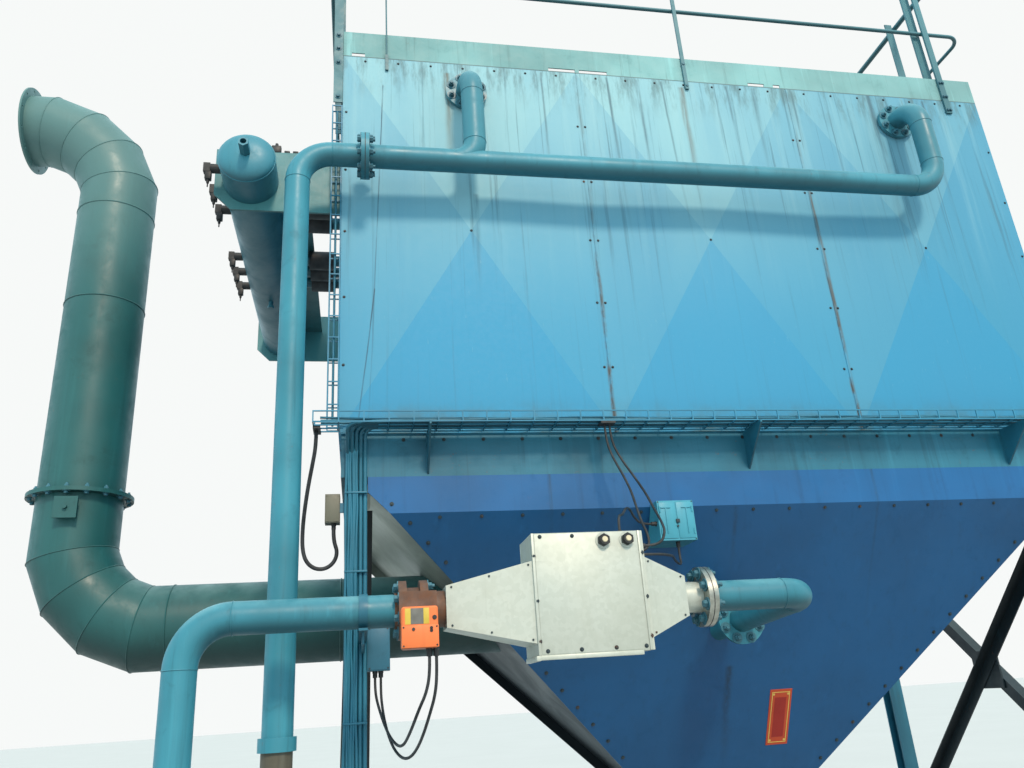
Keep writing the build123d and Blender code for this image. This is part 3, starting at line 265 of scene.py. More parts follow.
def worn_paint(name, base, dust=0.35, streaks=0.3, rust=0.25, gloss=0.42, mottle=0.25, marks=(), painted_upper_light=0.0):
    """Brush-coated machine paint with run-down dirt and rust specks; top faces paler with dust and painted
    highlight, undersides darkened as painted shade and, where asked, the upper parts painted paler as light
    from above.
    """
    s = Shader(name, specular=0.4)
    light = tuple(channel * 1.5 + more for channel, more in zip(base, (0.012, 0.035, 0.040)))
    pale_tone = tuple(channel * 0.9 + more for channel, more in zip(base, (0.140, 0.210, 0.205)))
    broad = s.ramp(s.noise(1.6, 3.0), 0.3, 0.7)
    colour = s.mix(broad, shade(base, 1 - mottle), shade(base, 1 + mottle * 0.8))
    runs = s.noise(1.0, 5.0, 0.65, s.stretched((26, 26, 1.1)))
    colour = s.mix(s.ramp(runs, 0.52, 0.75, streaks), colour, shade(base, 0.45))
    pale = s.noise(1.0, 4.0, 0.6, s.stretched((17, 17, 0.8), (3.1, 1.7, 0.4)))
    colour = s.mix(s.ramp(pale, 0.56, 0.8, streaks), colour, light)
    patches = s.noise(9.0, 6.0, 0.7, distortion=0.4)
    colour = s.mix(s.ramp(patches, 0.56, 0.72, 0.4), colour, shade(base, 0.62))
    for mark in marks:
        colour = s.stain(colour, *mark)
    spots = s.noise(38.0, 5.0, 0.7)
    where = s.times(s.ramp(spots, 0.62, 0.72), s.ramp(s.noise(2.4, 3.0), 0.45, 0.62))
    colour = s.mix(s.times(where, rust), colour, RUST)
    # Top faces turn paler: dust, and painted highlight where light falls from above.
    up = s.ramp(s.facing("Z"), 0.35, 0.95, dust)
    colour = s.mix(s.times(up, s.ramp(s.noise(6.0, 5.0), 0.25, 0.7)), colour, pale_tone)
    # Painted shade: undersides darkened.
    painted_underside_shade = s.ramp(s.facing("Z"), -0.05, -0.80, 0.78)
    colour = s.mix(painted_underside_shade, colour, shade(base, 0.32))
    # Painted light from above: the upper parts turn paler.
    if painted_upper_light:
        colour = s.mix(s.ramp(s.axis("Z"), 3.3, 4.5, painted_upper_light), colour, pale_tone)
    fine = s.noise(140.0, 3.0)
    s.bump(s.plus(s.times(fine, 0.4), s.times(spots, 0.6)), 0.16)
    return s.finish(colour, s.ramp(patches, 0.3, 0.7, gloss + 0.16, gloss - 0.06))


def casing_paint(name):
    """Azure casing paint with painted light: paler towards the rim and darker towards the right end, with the
    cross-break facets painted lighter and darker by how they face the light; dark runs and rusty seams.
    """
    s = Shader(name, specular=0.28)
    height = s.axis("Z")
    # Painted light and shade: paler higher up, as lit from above, and darker towards the right end, where the
    # light falls off.
    tone = s.mix(s.ramp(height, 2.8, 4.3), (0.048, 0.285, 0.455), (0.265, 0.500, 0.550))
    tone = s.mix(s.ramp(s.axis("X"), 1.6, 3.3, 0.75), tone, (0.032, 0.230, 0.375))
    # Painted light and shade on the cross-break facets: lower facets darker, upper facets lighter, side facets
    # paler.
    tone = s.mix(s.ramp(s.facing("Z"), 0.003, -0.004, 0.55), tone, (0.032, 0.265, 0.470))
    tone = s.mix(s.ramp(s.facing("Z"), 0.004, 0.011, 0.22), tone, (0.235, 0.470, 0.540))
    for low, high, share in ((-0.006, -0.013, 0.20), (0.006, 0.013, 0.08)):
        tone = s.mix(s.ramp(s.facing("X"), low, high, share), tone, FACET_LIGHT)
    broad = s.noise(1.0, 4.0, 0.5, s.stretched((2.2, 2.2, 0.5)))
    colour = s.mix(s.ramp(broad, 0.40, 0.72, 0.30), tone, (0.045, 0.250, 0.430))
    high = s.ramp(height, 3.0, 4.4)
    pale = s.noise(1.0, 5.0, 0.6, s.stretched((11, 11, 0.55)))
    colour = s.mix(s.times(s.ramp(pale, 0.50, 0.72, 0.40), high), colour, (0.30, 0.52, 0.56))
    runs = s.noise(1.0, 6.0, 0.7, s.stretched((34, 34, 0.7), (7.3, 2.2, 1.9)))
    share = s.times(s.ramp(runs, 0.54, 0.72, 0.75), s.ramp(height, 2.6, 4.45, 1.0, 0.25))
    colour = s.mix(share, colour, (0.045, 0.125, 0.170))
    smears = s.noise(1.0, 6.0, 0.7, s.stretched((16, 16, 3.0)))
    grime = s.times(s.ramp(height, 4.20, 4.48), s.ramp(smears, 0.44, 0.66, 0.80))
    colour = s.mix(grime, colour, (0.085, 0.170, 0.190))
    foot = s.times(s.ramp(height, 2.66, 2.48), s.ramp(s.noise(5.0, 6.0, 0.7), 0.38, 0.68, 0.7))
    colour = s.mix(foot, colour, (0.080, 0.120, 0.105))
    for mark in CASING_MARKS:
        colour = s.stain(colour, *mark)
    colour = rusty_seams(s, colour)
    scuffs = s.noise(55.0, 4.0, 0.7, s.stretched((1, 1, 0.25)))
    colour = s.mix(s.ramp(scuffs, 0.66, 0.74, 0.25), colour, (0.20, 0.40, 0.46))
    ripple = s.noise(3.2, 2.0, 0.4)
    s.bump(s.plus(ripple, s.times(s.noise(120.0, 2.0), 0.05)), 0.16, 0.004)
    return s.finish(colour, s.ramp(s.noise(60.0, 3.0), 0.3, 0.7, 0.62, 0.54))


def rusty_seams(s, colour):
    """Brown runs along the two front seams, stronger near the foot."""
    across = s.axis("X")
    height = s.axis("Z")
    for seam in (SHEET, 2 * SHEET):
        wobble = s.times(s.minus(s.noise(2.0, 3.0), 0.5), 0.03)
        offset = s.math("ABSOLUTE", s.minus(s.plus(across, wobble), seam + 0.004))
        near = s.ramp(offset, 0.016, 0.002)
        low = s.ramp(height, 3.9, 2.8, 0.95, 0.30)
        broken = s.ramp(s.noise(1.0, 5.0, 0.7, s.stretched((9, 9, 3.0))), 0.40, 0.6)
        share = s.times(s.times(near, low), broken)
        colour = s.mix(share, colour, (0.085, 0.060, 0.035))
    return colour


def zinc(name, dark_reflection=0.0):
    """Galvanised sheet with a faint spangle; a painted dark reflection darkens the lower parts, near the duct
    and the foot.
    """
    s = Shader(name, metallic=0.25, specular=0.5)
    cells = s.node("ShaderNodeTexVoronoi")
    s.link(s.place, cells.inputs["Vector"])
    cells.inputs["Scale"].default_value = 70.0
    grey = s.node("ShaderNodeSeparateColor")
    s.link(cells.outputs["Color"], grey.inputs["Color"])
    colour = s.mix(s.ramp(grey.outputs["Red"], 0, 1), (0.450, 0.485, 0.430), (0.485, 0.520, 0.465))
    cloud = s.noise(3.4, 6.0, 0.6, distortion=0.5)
    colour = s.mix(s.ramp(cloud, 0.44, 0.66, 0.4), colour, (0.370, 0.400, 0.340))
    drips = s.noise(1.0, 5.0, 0.65, s.stretched((30, 30, 1.6)))
    colour = s.mix(s.ramp(drips, 0.56, 0.74, 0.35), colour, (0.330, 0.350, 0.300))
    scratch = s.noise(1.0, 4.0, 0.7, s.stretched((5, 60, 60)))
    colour = s.mix(s.ramp(scratch, 0.66, 0.76, 0.4), colour, (0.22, 0.23, 0.21))
    # Painted dark reflection: lower down, the sheet turns near black, with a wavy edge.
    if dark_reflection:
        wavy = s.plus(s.axis("Z"), s.times(s.noise(2.2, 5.0, 0.6), 0.5))
        low = s.ramp(wavy, 2.34, 2.02, dark_reflection)
        colour = s.mix(low, dulled_patches(s, colour), (0.006, 0.012, 0.020))
    s.bump(s.noise(70.0, 4.0), 0.08)
    return s.finish(colour, s.ramp(cloud, 0.3, 0.7, 0.55, 0.36))


def dulled_patches(s, colour):
    """Sheet dulled in broad patches to a darker grey-green, as on the hopper's hidden end."""
    return s.mix(s.ramp(s.noise(1.7, 5.0, 0.6), 0.2, 0.6, 0.65, 0.35), colour, (0.10, 0.125, 0.105))


def plain_metal(name, colour, rough=0.35, metallic=1.0, rust=0.0):
    """Bare or plated steel with fine brush marks and, where asked, rust."""
    s = Shader(name, metallic=metallic)
    tone = s.mix(s.ramp(s.noise(24.0, 5.0), 0.3, 0.7), shade(colour, 0.72), shade(colour, 1.15))
    if rust:
        bite = s.ramp(s.noise(11.0, 6.0, 0.75), 0.62 - rust * 0.3, 0.72, 0.95)
        tone = s.mix(bite, tone, (0.17, 0.07, 0.03))
    s.bump(s.noise(160.0, 4.0), 0.2)
    return s.finish(tone, s.ramp(s.noise(18.0, 4.0), 0.3, 0.7, rough + 0.2, rough))


def plastic(name, colour, rough=0.5, dust=0.25):
    """Moulded plastic or cable sheath with a little dust."""
    s = Shader(name, specular=0.4)
    pale_tone = shade(tuple(channel + 0.06 for channel in colour), 1.5)
    tone = s.mix(s.ramp(s.noise(12.0, 5.0), 0.35, 0.75, dust), colour, pale_tone)
    s.bump(s.noise(220.0, 3.0), 0.12, 0.001)
    return s.finish(tone, s.ramp(s.noise(30.0, 3.0), 0.3, 0.7, rough + 0.12, rough - 0.05))


# Runs of rust and dirt: x, top, foot, half width, colour, strength and lean
CASING_MARKS = [
    (0.198, 4.322, 1.900, 0.005, WET_RUN, 1.00, -0.040),
    (0.152, 3.160, 1.900, 0.005, WET_RUN, 1.00, -0.110),
    (1.030, 4.480, 3.400, 0.010, DIRT, 0.70),
    (1.390, 4.480, 3.300, 0.012, DIRT, 0.70, 0.030),
    (1.700, 4.480, 3.200, 0.010, DIRT, 0.70, 0.040),
    (2.080, 4.480, 3.300, 0.012, DIRT, 0.70, 0.030),
    (0.521, 4.430, 3.700, 0.030, (0.110, 0.085, 0.050), 0.80),
    (1.815, 4.450, 3.600, 0.026, (0.120, 0.085, 0.050), 0.80),
    (2.956, 4.500, 3.300, 0.034, DIRT, 0.80),
    (0.640, 3.690, 3.050, 0.022, (0.050, 0.150, 0.210), 0.70),
    (1.560, 4.480, 3.550, 0.016, DIRT, 0.75, 0.020),
    (2.240, 4.480, 3.750, 0.020, DIRT, 0.70),
    (3.300, 4.480, 3.500, 0.018, DIRT, 0.70),
    (2.452, 3.950, 2.300, 0.012, (0.100, 0.065, 0.030), 0.90),
]
HOPPER_MARKS = [
    (1.781, 1.460, 0.900, 0.030, (0.006, 0.020, 0.035), 0.85),
    (1.746, 2.120, 1.800, 0.016, HOPPER_RUN, 0.70),
    (2.450, 2.290, 1.500, 0.012, HOPPER_RUN, 0.60),
    (0.900, 2.290, 1.900, 0.014, HOPPER_RUN, 0.60),
]

CASING_BLUE = casing_paint("casing_paint")
RIM_PAINT = worn_paint(
    "rim_paint", (0.190, 0.395, 0.405), dust=0.3, streaks=0.8, rust=0.6, gloss=0.62, mottle=0.2
)
RAIL_PAINT = worn_paint("rail_paint", (0.055, 0.180, 0.215), dust=0.3, streaks=0.2, rust=0.6, mottle=0.2)
DECK_PAINT = worn_paint(
    "deck_paint", (0.10, 0.18, 0.19), dust=0.25, streaks=0.0, rust=0.9, gloss=0.6, mottle=0.12
)
FRAME_PAINT = worn_paint("frame_paint", (0.017, 0.140, 0.215), dust=0.4, streaks=0.5, rust=0.5)
BRACE_PAINT = worn_paint("brace_paint", (0.008, 0.018, 0.024), dust=0.2, rust=0.5)
HOPPER_PAINT = worn_paint("hopper_paint", (0.0035, 0.100, 0.275), rust=0.1, mottle=0.16, marks=HOPPER_MARKS)
# Duct and pipes: paler tops with dust and painted highlight, and upper parts painted paler as light from
# above.
DUCT_PAINT = worn_paint("duct_paint", (0.013, 0.086, 0.088), dust=0.7, streaks=0.35, rust=0.2, painted_upper_light=0.55)
PIPE_PAINT = worn_paint(
    "pipe_paint", (0.032, 0.205, 0.275), dust=0.9, streaks=0.5, rust=0.4, gloss=0.40, painted_upper_light=0.15
)
PIPE_RUSTY = worn_paint("pipe_rusty", (0.085, 0.080, 0.060), dust=0.5, streaks=0.6, rust=1.0, gloss=0.6)
TANK_PAINT = worn_paint("tank_paint", (0.036, 0.190, 0.255), dust=0.5, rust=0.2, gloss=0.38)
PLATE_PAINT = worn_paint("plate_paint", (0.060, 0.215, 0.235), dust=0.4, rust=0.3)
MACHINE_PAINT = worn_paint("machine_paint", (0.030, 0.110, 0.150), dust=0.5, rust=0.3)
TRAY_PAINT = worn_paint("tray_paint", (0.030, 0.205, 0.330), dust=0.4, streaks=0.1, rust=0.3)
BOX_TURQUOISE = worn_paint("turquoise_paint", (0.055, 0.315, 0.420), dust=0.3, rust=0.2, mottle=0.10)
BOX_BLUE = worn_paint("box_blue_paint", (0.026, 0.130, 0.200), dust=0.4, rust=0.1)
BOX_GREY = worn_paint("box_grey_paint", (0.125, 0.125, 0.095), dust=0.4, rust=0.1)
ORANGE = worn_paint("actuator_paint", (0.780, 0.185, 0.050), dust=0.1, streaks=0.15, rust=0.05, mottle=0.10)
VALVE_IRON = plain_metal("valve_iron", (0.135, 0.085, 0.065), rough=0.6, metallic=0.2, rust=0.8)
BOLT_DARK = plain_metal("bolt_dark", (0.035, 0.055, 0.065), rough=0.5, metallic=0.5, rust=0.3)
BOLT_PAINTED = worn_paint("bolt_paint", (0.040, 0.150, 0.200), dust=0.4, streaks=0.1, rust=0.9)
BOLT_ZINC = plain_metal("bolt_zinc", (0.50, 0.52, 0.48), metallic=0.7, rust=0.1)
STAINLESS = plain_metal("stainless", (0.42, 0.42, 0.37), rough=0.28, rust=0.15)
ZINC_BOX = zinc("galvanised")
ZINC_HOPPER = zinc("galvanised_dark_reflection", dark_reflection=0.95)
BLACK = plastic("black_plastic", (0.012, 0.014, 0.016))
RUBBER = plastic("rubber_sleeve", (0.014, 0.015, 0.018), rough=0.6, dust=0.3)
CABLE_BLACK = plastic("cable_black", (0.014, 0.017, 0.020), dust=0.3)
CABLE_BLUE = worn_paint("cable_overpainted", (0.020, 0.150, 0.230), dust=0.2, streaks=0.5, rust=0.1)
CREAM = plastic("cream_plastic", (0.62, 0.55, 0.38))
YELLOW = plastic("yellow_band", (0.50, 0.36, 0.04), dust=0.4)
LABEL_GREY = plastic("label_grey", (0.10, 0.10, 0.09), dust=0.6)
RED_PLATE = worn_paint("red_plate", (0.62, 0.075, 0.020), dust=0.1, streaks=0.2, rust=0.1)
RED_FIELD = worn_paint("red_field", (0.40, 0.020, 0.010), dust=0.1, rust=0.1)
GOLD_LINE = plastic("gold_line", (0.50, 0.33, 0.07))


# The photo's camera: yaw, pitch and roll in degrees, lens and sensor in millimetres, place in metres
CAMERA_TURN = (11.287, 20.924, -3.846)
CAMERA_LENS = 28.828
CAMERA_SENSOR = 36.0
CAMERA_PLACE = (0.0870, -3.3717, 1.3918)
FAR_LIMIT = 200


def photo_camera():
    """Camera that stands where the photo was taken."""
    yaw, pitch, roll = (math.radians(angle) for angle in CAMERA_TURN)
    forward = Vector((math.sin(yaw) * math.cos(pitch), math.cos(yaw) * math.cos(pitch), math.sin(pitch)))
    level = Vector((math.cos(yaw), -math.sin(yaw), 0))
    upward = level.cross(forward)
    right = math.cos(roll) * level + math.sin(roll) * upward
    up = -math.sin(roll) * level + math.cos(roll) * upward
    data = bpy.data.cameras.new("camera")
    data.sensor_width = CAMERA_SENSOR
    data.lens = CAMERA_LENS
    data.clip_end = FAR_LIMIT
    made = bpy.data.objects.new("camera", data)
    turn = Matrix((right, up, -forward)).transposed().to_4x4()
    made.matrix_world = Matrix.Translation(CAMERA_PLACE) @ turn
    bpy.context.collection.objects.link(made)
    bpy.context.scene.camera = made


photo_camera()

# Loose cables: the control points of one smooth curve each, from gland to gland
CORDS = {
    "loose_heater_cable_back": (0.010, 0.741, [
        (1.128, -0.131, 2.468), (1.128, -0.131, 2.398), (1.144, -0.146, 2.318), (1.162, -0.198, 2.230),
        (1.162, -0.275, 2.145), (1.152, -0.345, 2.062), (1.147, -0.400, 1.990), (1.154, -0.436, 1.930),
        (1.153, -0.440, 1.894), (1.129, -0.440, 1.870), (1.094, -0.440, 1.870),
    ]),
    "loose_heater_cable_side": (0.010, 0.836, [
        (1.150, -0.131, 2.468), (1.150, -0.131, 2.395), (1.179, -0.146, 2.312), (1.210, -0.195, 2.222),
        (1.221, -0.278, 2.132), (1.215, -0.365, 2.050), (1.205, -0.450, 1.985), (1.190, -0.525, 1.925),
        (1.154, -0.550, 1.872), (1.094, -0.550, 1.872),
    ]),
    "loose_heater_cable_low": (0.010, 0.679, [
        (1.094, -0.525, 1.845), (1.160, -0.525, 1.845), (1.213, -0.470, 1.848), (1.255, -0.390, 1.858),
        (1.295, -0.300, 1.870), (1.345, -0.190, 1.868), (1.395, -0.105, 1.866), (1.421, -0.062, 1.876),
        (1.429, -0.035, 1.905), (1.429, -0.035, 1.948),
    ]),
    "loose_heater_cable_high": (0.010, 0.611, [
        (1.318, -0.040, 2.050), (1.272, -0.040, 2.050), (1.225, -0.088, 2.075), (1.190, -0.160, 2.088),
        (1.150, -0.240, 2.080), (1.110, -0.330, 2.052), (1.070, -0.410, 2.014), (1.041, -0.461, 2.003),
        (1.030, -0.480, 1.975), (1.030, -0.480, 1.941),
    ]),
    "loose_actuator_cable_left": (0.010, 0.953, [
        (0.307, -0.652, 1.531), (0.307, -0.652, 1.482), (0.296, -0.638, 1.425), (0.274, -0.606, 1.378),
        (0.258, -0.550, 1.332), (0.246, -0.475, 1.296), (0.236, -0.390, 1.270), (0.224, -0.298, 1.262),
        (0.208, -0.208, 1.276), (0.190, -0.125, 1.308), (0.172, -0.050, 1.358), (0.155, 0.008, 1.420),
        (0.1505, 0.033, 1.462), (0.1505, 0.033, 1.498),
    ]),
    "loose_actuator_cable_right": (0.010, 1.002, [
        (0.329, -0.652, 1.531), (0.329, -0.652, 1.478), (0.324, -0.630, 1.418), (0.308, -0.598, 1.362),
        (0.292, -0.543, 1.306), (0.276, -0.468, 1.260), (0.258, -0.383, 1.230), (0.239, -0.290, 1.222),
        (0.218, -0.200, 1.240), (0.200, -0.115, 1.278), (0.184, -0.045, 1.338), (0.174, 0.010, 1.410),
        (0.1725, 0.033, 1.460), (0.1725, 0.033, 1.498),
    ]),
    "loose_grey_box_cable": (0.016, 0.795, [
        (-0.088, -0.060, 2.468), (-0.088, -0.060, 2.405), (-0.101, -0.046, 2.330), (-0.118, -0.020, 2.240),
        (-0.131, 0.008, 2.150), (-0.138, 0.032, 2.072), (-0.137, 0.042, 2.002), (-0.122, 0.045, 1.953),
        (-0.088, 0.046, 1.924), (-0.045, 0.046, 1.922), (-0.010, 0.045, 1.948), (0.002, 0.044, 1.990),
        (-0.015, 0.044, 2.036), (-0.015, 0.044, 2.080),
    ]),
}


def smooth_curve(name, routes, radius, sides, steps, material):
    """Round strands, one smooth curve for each route of control points."""
    data = bpy.data.curves.new(name, "CURVE")
    data.dimensions = "3D"
    data.bevel_depth = radius
    data.bevel_resolution = sides
    data.resolution_u = steps
    for route in routes:
        spline = data.splines.new("NURBS")
        spline.points.add(len(route) - 1)
        for control, place in zip(spline.points, route):
            control.co = (*place, 1)
        spline.order_u = 3
        spline.use_endpoint_u = True
    data.materials.append(material)
    made = bpy.data.objects.new(name, data)
    bpy.context.collection.objects.link(made)
    return made


def cable(node, diameter, points):
    """Round cable on a smooth curve that stands for its plain solid."""
    made = smooth_curve(node + "_cable", [points], diameter / 2, 3, 8, CABLE_BLACK)
    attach(made, "root")
    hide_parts(node)


for cord_node, (thickness, cord_length, route) in CORDS.items():
    cable(cord_node, thickness, route)

# Material of each solid that shows as it is
NODE_PAINT = {
    CASING_BLUE: ["wall_front", "wall_back", "wall_left", "wall_right"],
    RIM_PAINT: ["toe_boards"],
    RAIL_PAINT: ["handrail_posts", "top_rail", "mid_rail"],
    DECK_PAINT: ["roof_plate"],
    FRAME_PAINT: [
        "girder_front", "girder_back", "girder_left", "girder_right",
        "column_front_left", "column_front_right", "column_back_left", "column_back_right",
        "pipe_clamp", "fan_stand",
    ],
    BRACE_PAINT: ["brace_left", "brace_right"],
    HOPPER_PAINT: ["hopper_front", "hopper_back", "hopper_right", "outlet_flange"],
    ZINC_HOPPER: ["hopper_left"],
    ZINC_BOX: ["heater"],
    DUCT_PAINT: ["duct_lower", "duct_upper", "duct_hatch"],
    TANK_PAINT: ["header_tank", "blow_pipes"],
    PLATE_PAINT: ["tank_supports"],
    PIPE_PAINT: ["return_manifold", "branch_pipe", "downcomer", "heater_riser", "hopper_pipe"],
    PIPE_RUSTY: ["suction_pipe"],
    MACHINE_PAINT: ["fan_casing", "fan_motor"],
    VALVE_IRON: ["butterfly_valve"],
    ORANGE: ["valve_actuator"],
    STAINLESS: ["heater_flange"],
    TRAY_PAINT: ["cable_tray", "cable_ladder"],
    CABLE_BLUE: ["cable_bundle"],
    BOX_TURQUOISE: ["junction_box"],
    BOX_BLUE: ["terminal_boxes"],
    BOX_GREY: ["grey_box"],
    BLACK: ["pulse_valves", "cable_glands"],
    RUBBER: ["blow_sleeves"],
}
for material, names in NODE_PAINT.items():
    for name in names:
        for material_slot in nodes[name].material_slots:
            material_slot.link = "OBJECT"
            material_slot.material = material


# Mesh helpers


def turned(origin, axis):
    """Matrix that takes the z axis to axis at origin."""
    turn = Vector((0, 0, 1)).rotation_difference(Vector(axis).normalized())
    return Matrix.Translation(Vector(origin)) @ turn.to_matrix().to_4x4()


def add_round(bm, origin, axis, radius, length, segments=16, tip=None):
    """Cylinder or cone from origin along axis."""
    place = turned(origin, axis) @ Matrix.Translation((0, 0, length / 2))
    bmesh.ops.create_cone(
        bm,
        cap_ends=True,
        segments=segments,
        radius1=radius,
        radius2=radius if tip is None else tip,
        depth=length,
        matrix=place,
    )


def add_block(bm, low, high, bevel=0.0):
    """Box between two corners, its edges rounded by bevel.

    It is made in a mesh of its own, so that the order of faces in bm is the same each run.
    """
    size = [abs(b - a) for a, b in zip(low, high)]
    middle = [(a + b) / 2 for a, b in zip(low, high)]
    place = Matrix.Translation(middle) @ Matrix.Diagonal((*size, 1))
    box = bmesh.new()
    bmesh.ops.create_cube(box, size=1, matrix=place)
    if bevel:
        bmesh.ops.bevel(box, geom=box.edges[:], offset=bevel, segments=2, affect="EDGES", profile=0.5)
    mesh = bpy.data.meshes.new("box")
    box.to_mesh(mesh)
    box.free()
    bm.from_mesh(mesh)
    bpy.data.meshes.remove(mesh)


BEAD_SIDES = 6


def add_bead(bm, centre, axis, radius, bead, segments=40, frame=None):
    """Weld bead or raised band round a pipe, in a plane across axis or in the given frame."""
    place = frame or turned(centre, axis)
    rings = []
    for step in range(segments):
        angle = 2 * math.pi * step / segments
        ring = []
        for side in range(BEAD_SIDES):
            turn = 2 * math.pi * side / BEAD_SIDES
            reach = radius + bead * math.cos(turn)
            point = Vector((reach * math.cos(angle), reach * math.sin(angle), bead * math.sin(turn)))
            ring.append(bm.verts.new(place @ point))
        rings.append(ring)
    for step, ring in enumerate(rings):
        following = rings[(step + 1) % segments]
        for side in range(BEAD_SIDES):
            other = (side + 1) % BEAD_SIDES
            bm.faces.new((ring[side], following[side], following[other], ring[other]))


def add_bolt(bm, origin, axis, across, washer=True):
    """Hexagon head with a chamfered top, on a washer."""
    direction = Vector(axis).normalized()
    start = Vector(origin)
    radius = across / math.sqrt(3)
    if washer:
        add_round(bm, start, direction, across * 0.95, across * 0.14, 20)
        start = start + direction * across * 0.14
    add_round(bm, start, direction, radius, across * 0.5, 6)
    crown = start + direction * across * 0.5
    add_round(bm, crown, direction, radius * 0.96, across * 0.1, 6, tip=radius * 0.78)


def add_stud(bm, origin, axis, across):
    """Nut on a washer with the bolt's end standing out of it."""
    direction = Vector(axis).normalized()
    add_bolt(bm, origin, direction, across)
    add_round(bm, Vector(origin) + direction * across * 0.7, direction, across * 0.32, across * 0.42, 12)


def piece(name, bm, material, smooth=True):
    """Turns the mesh into a named object that rides on the body."""
    bmesh.ops.recalc_face_normals(bm, faces=bm.faces)
    mesh = bpy.data.meshes.new(name)
    bm.to_mesh(mesh)
    bm.free()
    if smooth:
        mesh.shade_smooth()
        mesh.set_sharp_from_angle(angle=math.radians(35))
    mesh.materials.append(material)
    made = bpy.data.objects.new(name, mesh)
    bpy.context.collection.objects.link(made)
    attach(made, "root")


def spread(start, end, pitch):
    """Evenly spaced values from start to end, about pitch apart."""
    count = max(1, round(abs(end - start) / pitch))
    return [start + (end - start) * step / count for step in range(count + 1)]


def circle_points(centre, axis, radius, count, phase):
    """Points evenly round a circle across axis, the first at the angle phase."""
    place = turned(centre, axis)
    points = []
    for step in range(count):
        angle = phase + 2 * math.pi * step / count
        points.append(place @ Vector((radius * math.cos(angle), radius * math.sin(angle), 0)))
    return points


def bulge(along, width, height_share):
    """How far a cross-broken sheet stands out, along its width and at a share of its height."""
    share = min(along, width - along) / (width / 2)
    return BREAK * max(0.0, min(share, 2 * min(height_share, 1 - height_share)))


SCREW_ROWS = [2.792, 3.124, 3.466, 3.808, 4.148]
HEAD_ROW = 4.473
CASING_SCREW = 0.0070
FRAME_SCREW = 0.0085
FRAME_ROW = 2.452
FIN_BOLT = 0.0095


def front_points():
    """Front wall's screws as x and z: at seams, corners and sheet middles, and along the head."""
    points = []
    for seam in range(4):
        offsets = [-0.020, 0.020] if seam in (1, 2) else [0.017 if seam == 0 else -0.017]
        for offset in offsets:
            for z in SCREW_ROWS:
                points.append((seam * SHEET + offset, z))
    for sheet in range(3):
        points.append(((sheet + 0.5) * SHEET, (FOOT + ROOF) / 2))
        for x in spread(sheet * SHEET + 0.11, (sheet + 1) * SHEET - 0.11, 0.17):
            points.append((x, HEAD_ROW))
    return points


# Screws of the casing's four walls
casing_screws = bmesh.new()
for x, z in front_points():
    out = bulge(x % SHEET, SHEET, (z - FOOT) / (ROOF - FOOT))
    add_bolt(casing_screws, (x, -out, z), (0, -1, 0), CASING_SCREW)
    add_bolt(casing_screws, (x, DEPTH + out, z), (0, 1, 0), CASING_SCREW)
for y in (0.022, 0.982, 1.022, 1.978):
    for z in SCREW_ROWS:
        out = bulge((y - SIDE_START) % SIDE_SHEET, SIDE_SHEET, (z - FOOT) / (ROOF - FOOT))
        add_bolt(casing_screws, (-out, y, z), (-1, 0, 0), CASING_SCREW)
        add_bolt(casing_screws, (WIDTH + out, y, z), (1, 0, 0), CASING_SCREW)
piece("casing_screws", casing_screws, BOLT_DARK)

# The hopper's front slope and the direction that it faces
SLOPE = math.atan2(BAND_FOOT - OUTLET_TOP, OUTLET_FRONT - GIRDER_FACE)
SLOPE_OUT = Vector((0, -math.sin(SLOPE), -math.cos(SLOPE)))
SCREW_DROP = 0.022

# Girder screws, and a row along the head of the hopper's front and back plates
frame_screws = bmesh.new()
for x in spread(0.10, 3.56, 0.173):
    add_bolt(frame_screws, (x, GIRDER_FACE, FRAME_ROW), (0, -1, 0), FRAME_SCREW)
    add_bolt(frame_screws, (x, DEPTH - GIRDER_FACE, FRAME_ROW), (0, 1, 0), FRAME_SCREW)
for x in spread(0.42, 3.24, 0.176):
    y = GIRDER_FACE + SCREW_DROP * math.cos(SLOPE)
    z = BAND_FOOT - SCREW_DROP * math.sin(SLOPE)
    add_bolt(frame_screws, (x, y, z), SLOPE_OUT, FRAME_SCREW)
    add_bolt(frame_screws, (x, DEPTH - y, z), (0, math.sin(SLOPE), -math.cos(SLOPE)), FRAME_SCREW)
for y in spread(0.16, 1.84, 0.173):
    add_bolt(frame_screws, (GIRDER_FACE, y, FRAME_ROW), (-1, 0, 0), FRAME_SCREW)
    add_bolt(frame_screws, (WIDTH - GIRDER_FACE, y, FRAME_ROW), (1, 0, 0), FRAME_SCREW)
piece("frame_screws", frame_screws, BOLT_DARK)

# Bolts of the hopper's folded corner flanges
FIN_INSET = 0.026
FIN_END = 0.16
fin_bolts = bmesh.new()
for z in spread(0.80, 2.25, 0.075):
    reach = z - OUTLET_TOP
    left_x = OUTLET_X - OUTLET_HALF - reach - FIN_INSET
    if left_x < FIN_END:
        continue
    if z > BAND_FOOT:
        y = GIRDER_FACE
        axis = Vector((0, -1, 0))
    else:
        y = GIRDER_FACE + (BAND_FOOT - z) / math.tan(SLOPE)
        axis = SLOPE_OUT
    back = Vector((axis.x, -axis.y, axis.z))
    for x in (left_x, WIDTH - left_x):
        add_bolt(fin_bolts, (x, y, z), axis, FIN_BOLT)
        add_bolt(fin_bolts, (x, DEPTH - y, z), back, FIN_BOLT)
piece("fin_bolts", fin_bolts, BOLT_DARK)


FIRST_BOLT = 0.3927
flange_bolts = bmesh.new()


def flange_set(centre, axis, half, count=8, pitch_radius=0.085, across=0.024, both=True):
    """Pipe flange's bolts: nuts on one face and, where both faces show, heads on the other."""
    direction = Vector(axis).normalized()
    for point in circle_points(centre, direction, pitch_radius, count, FIRST_BOLT):
        add_stud(flange_bolts, point + direction * half, direction, across)
        if both:
            add_bolt(flange_bolts, point - direction * half, -direction, across)


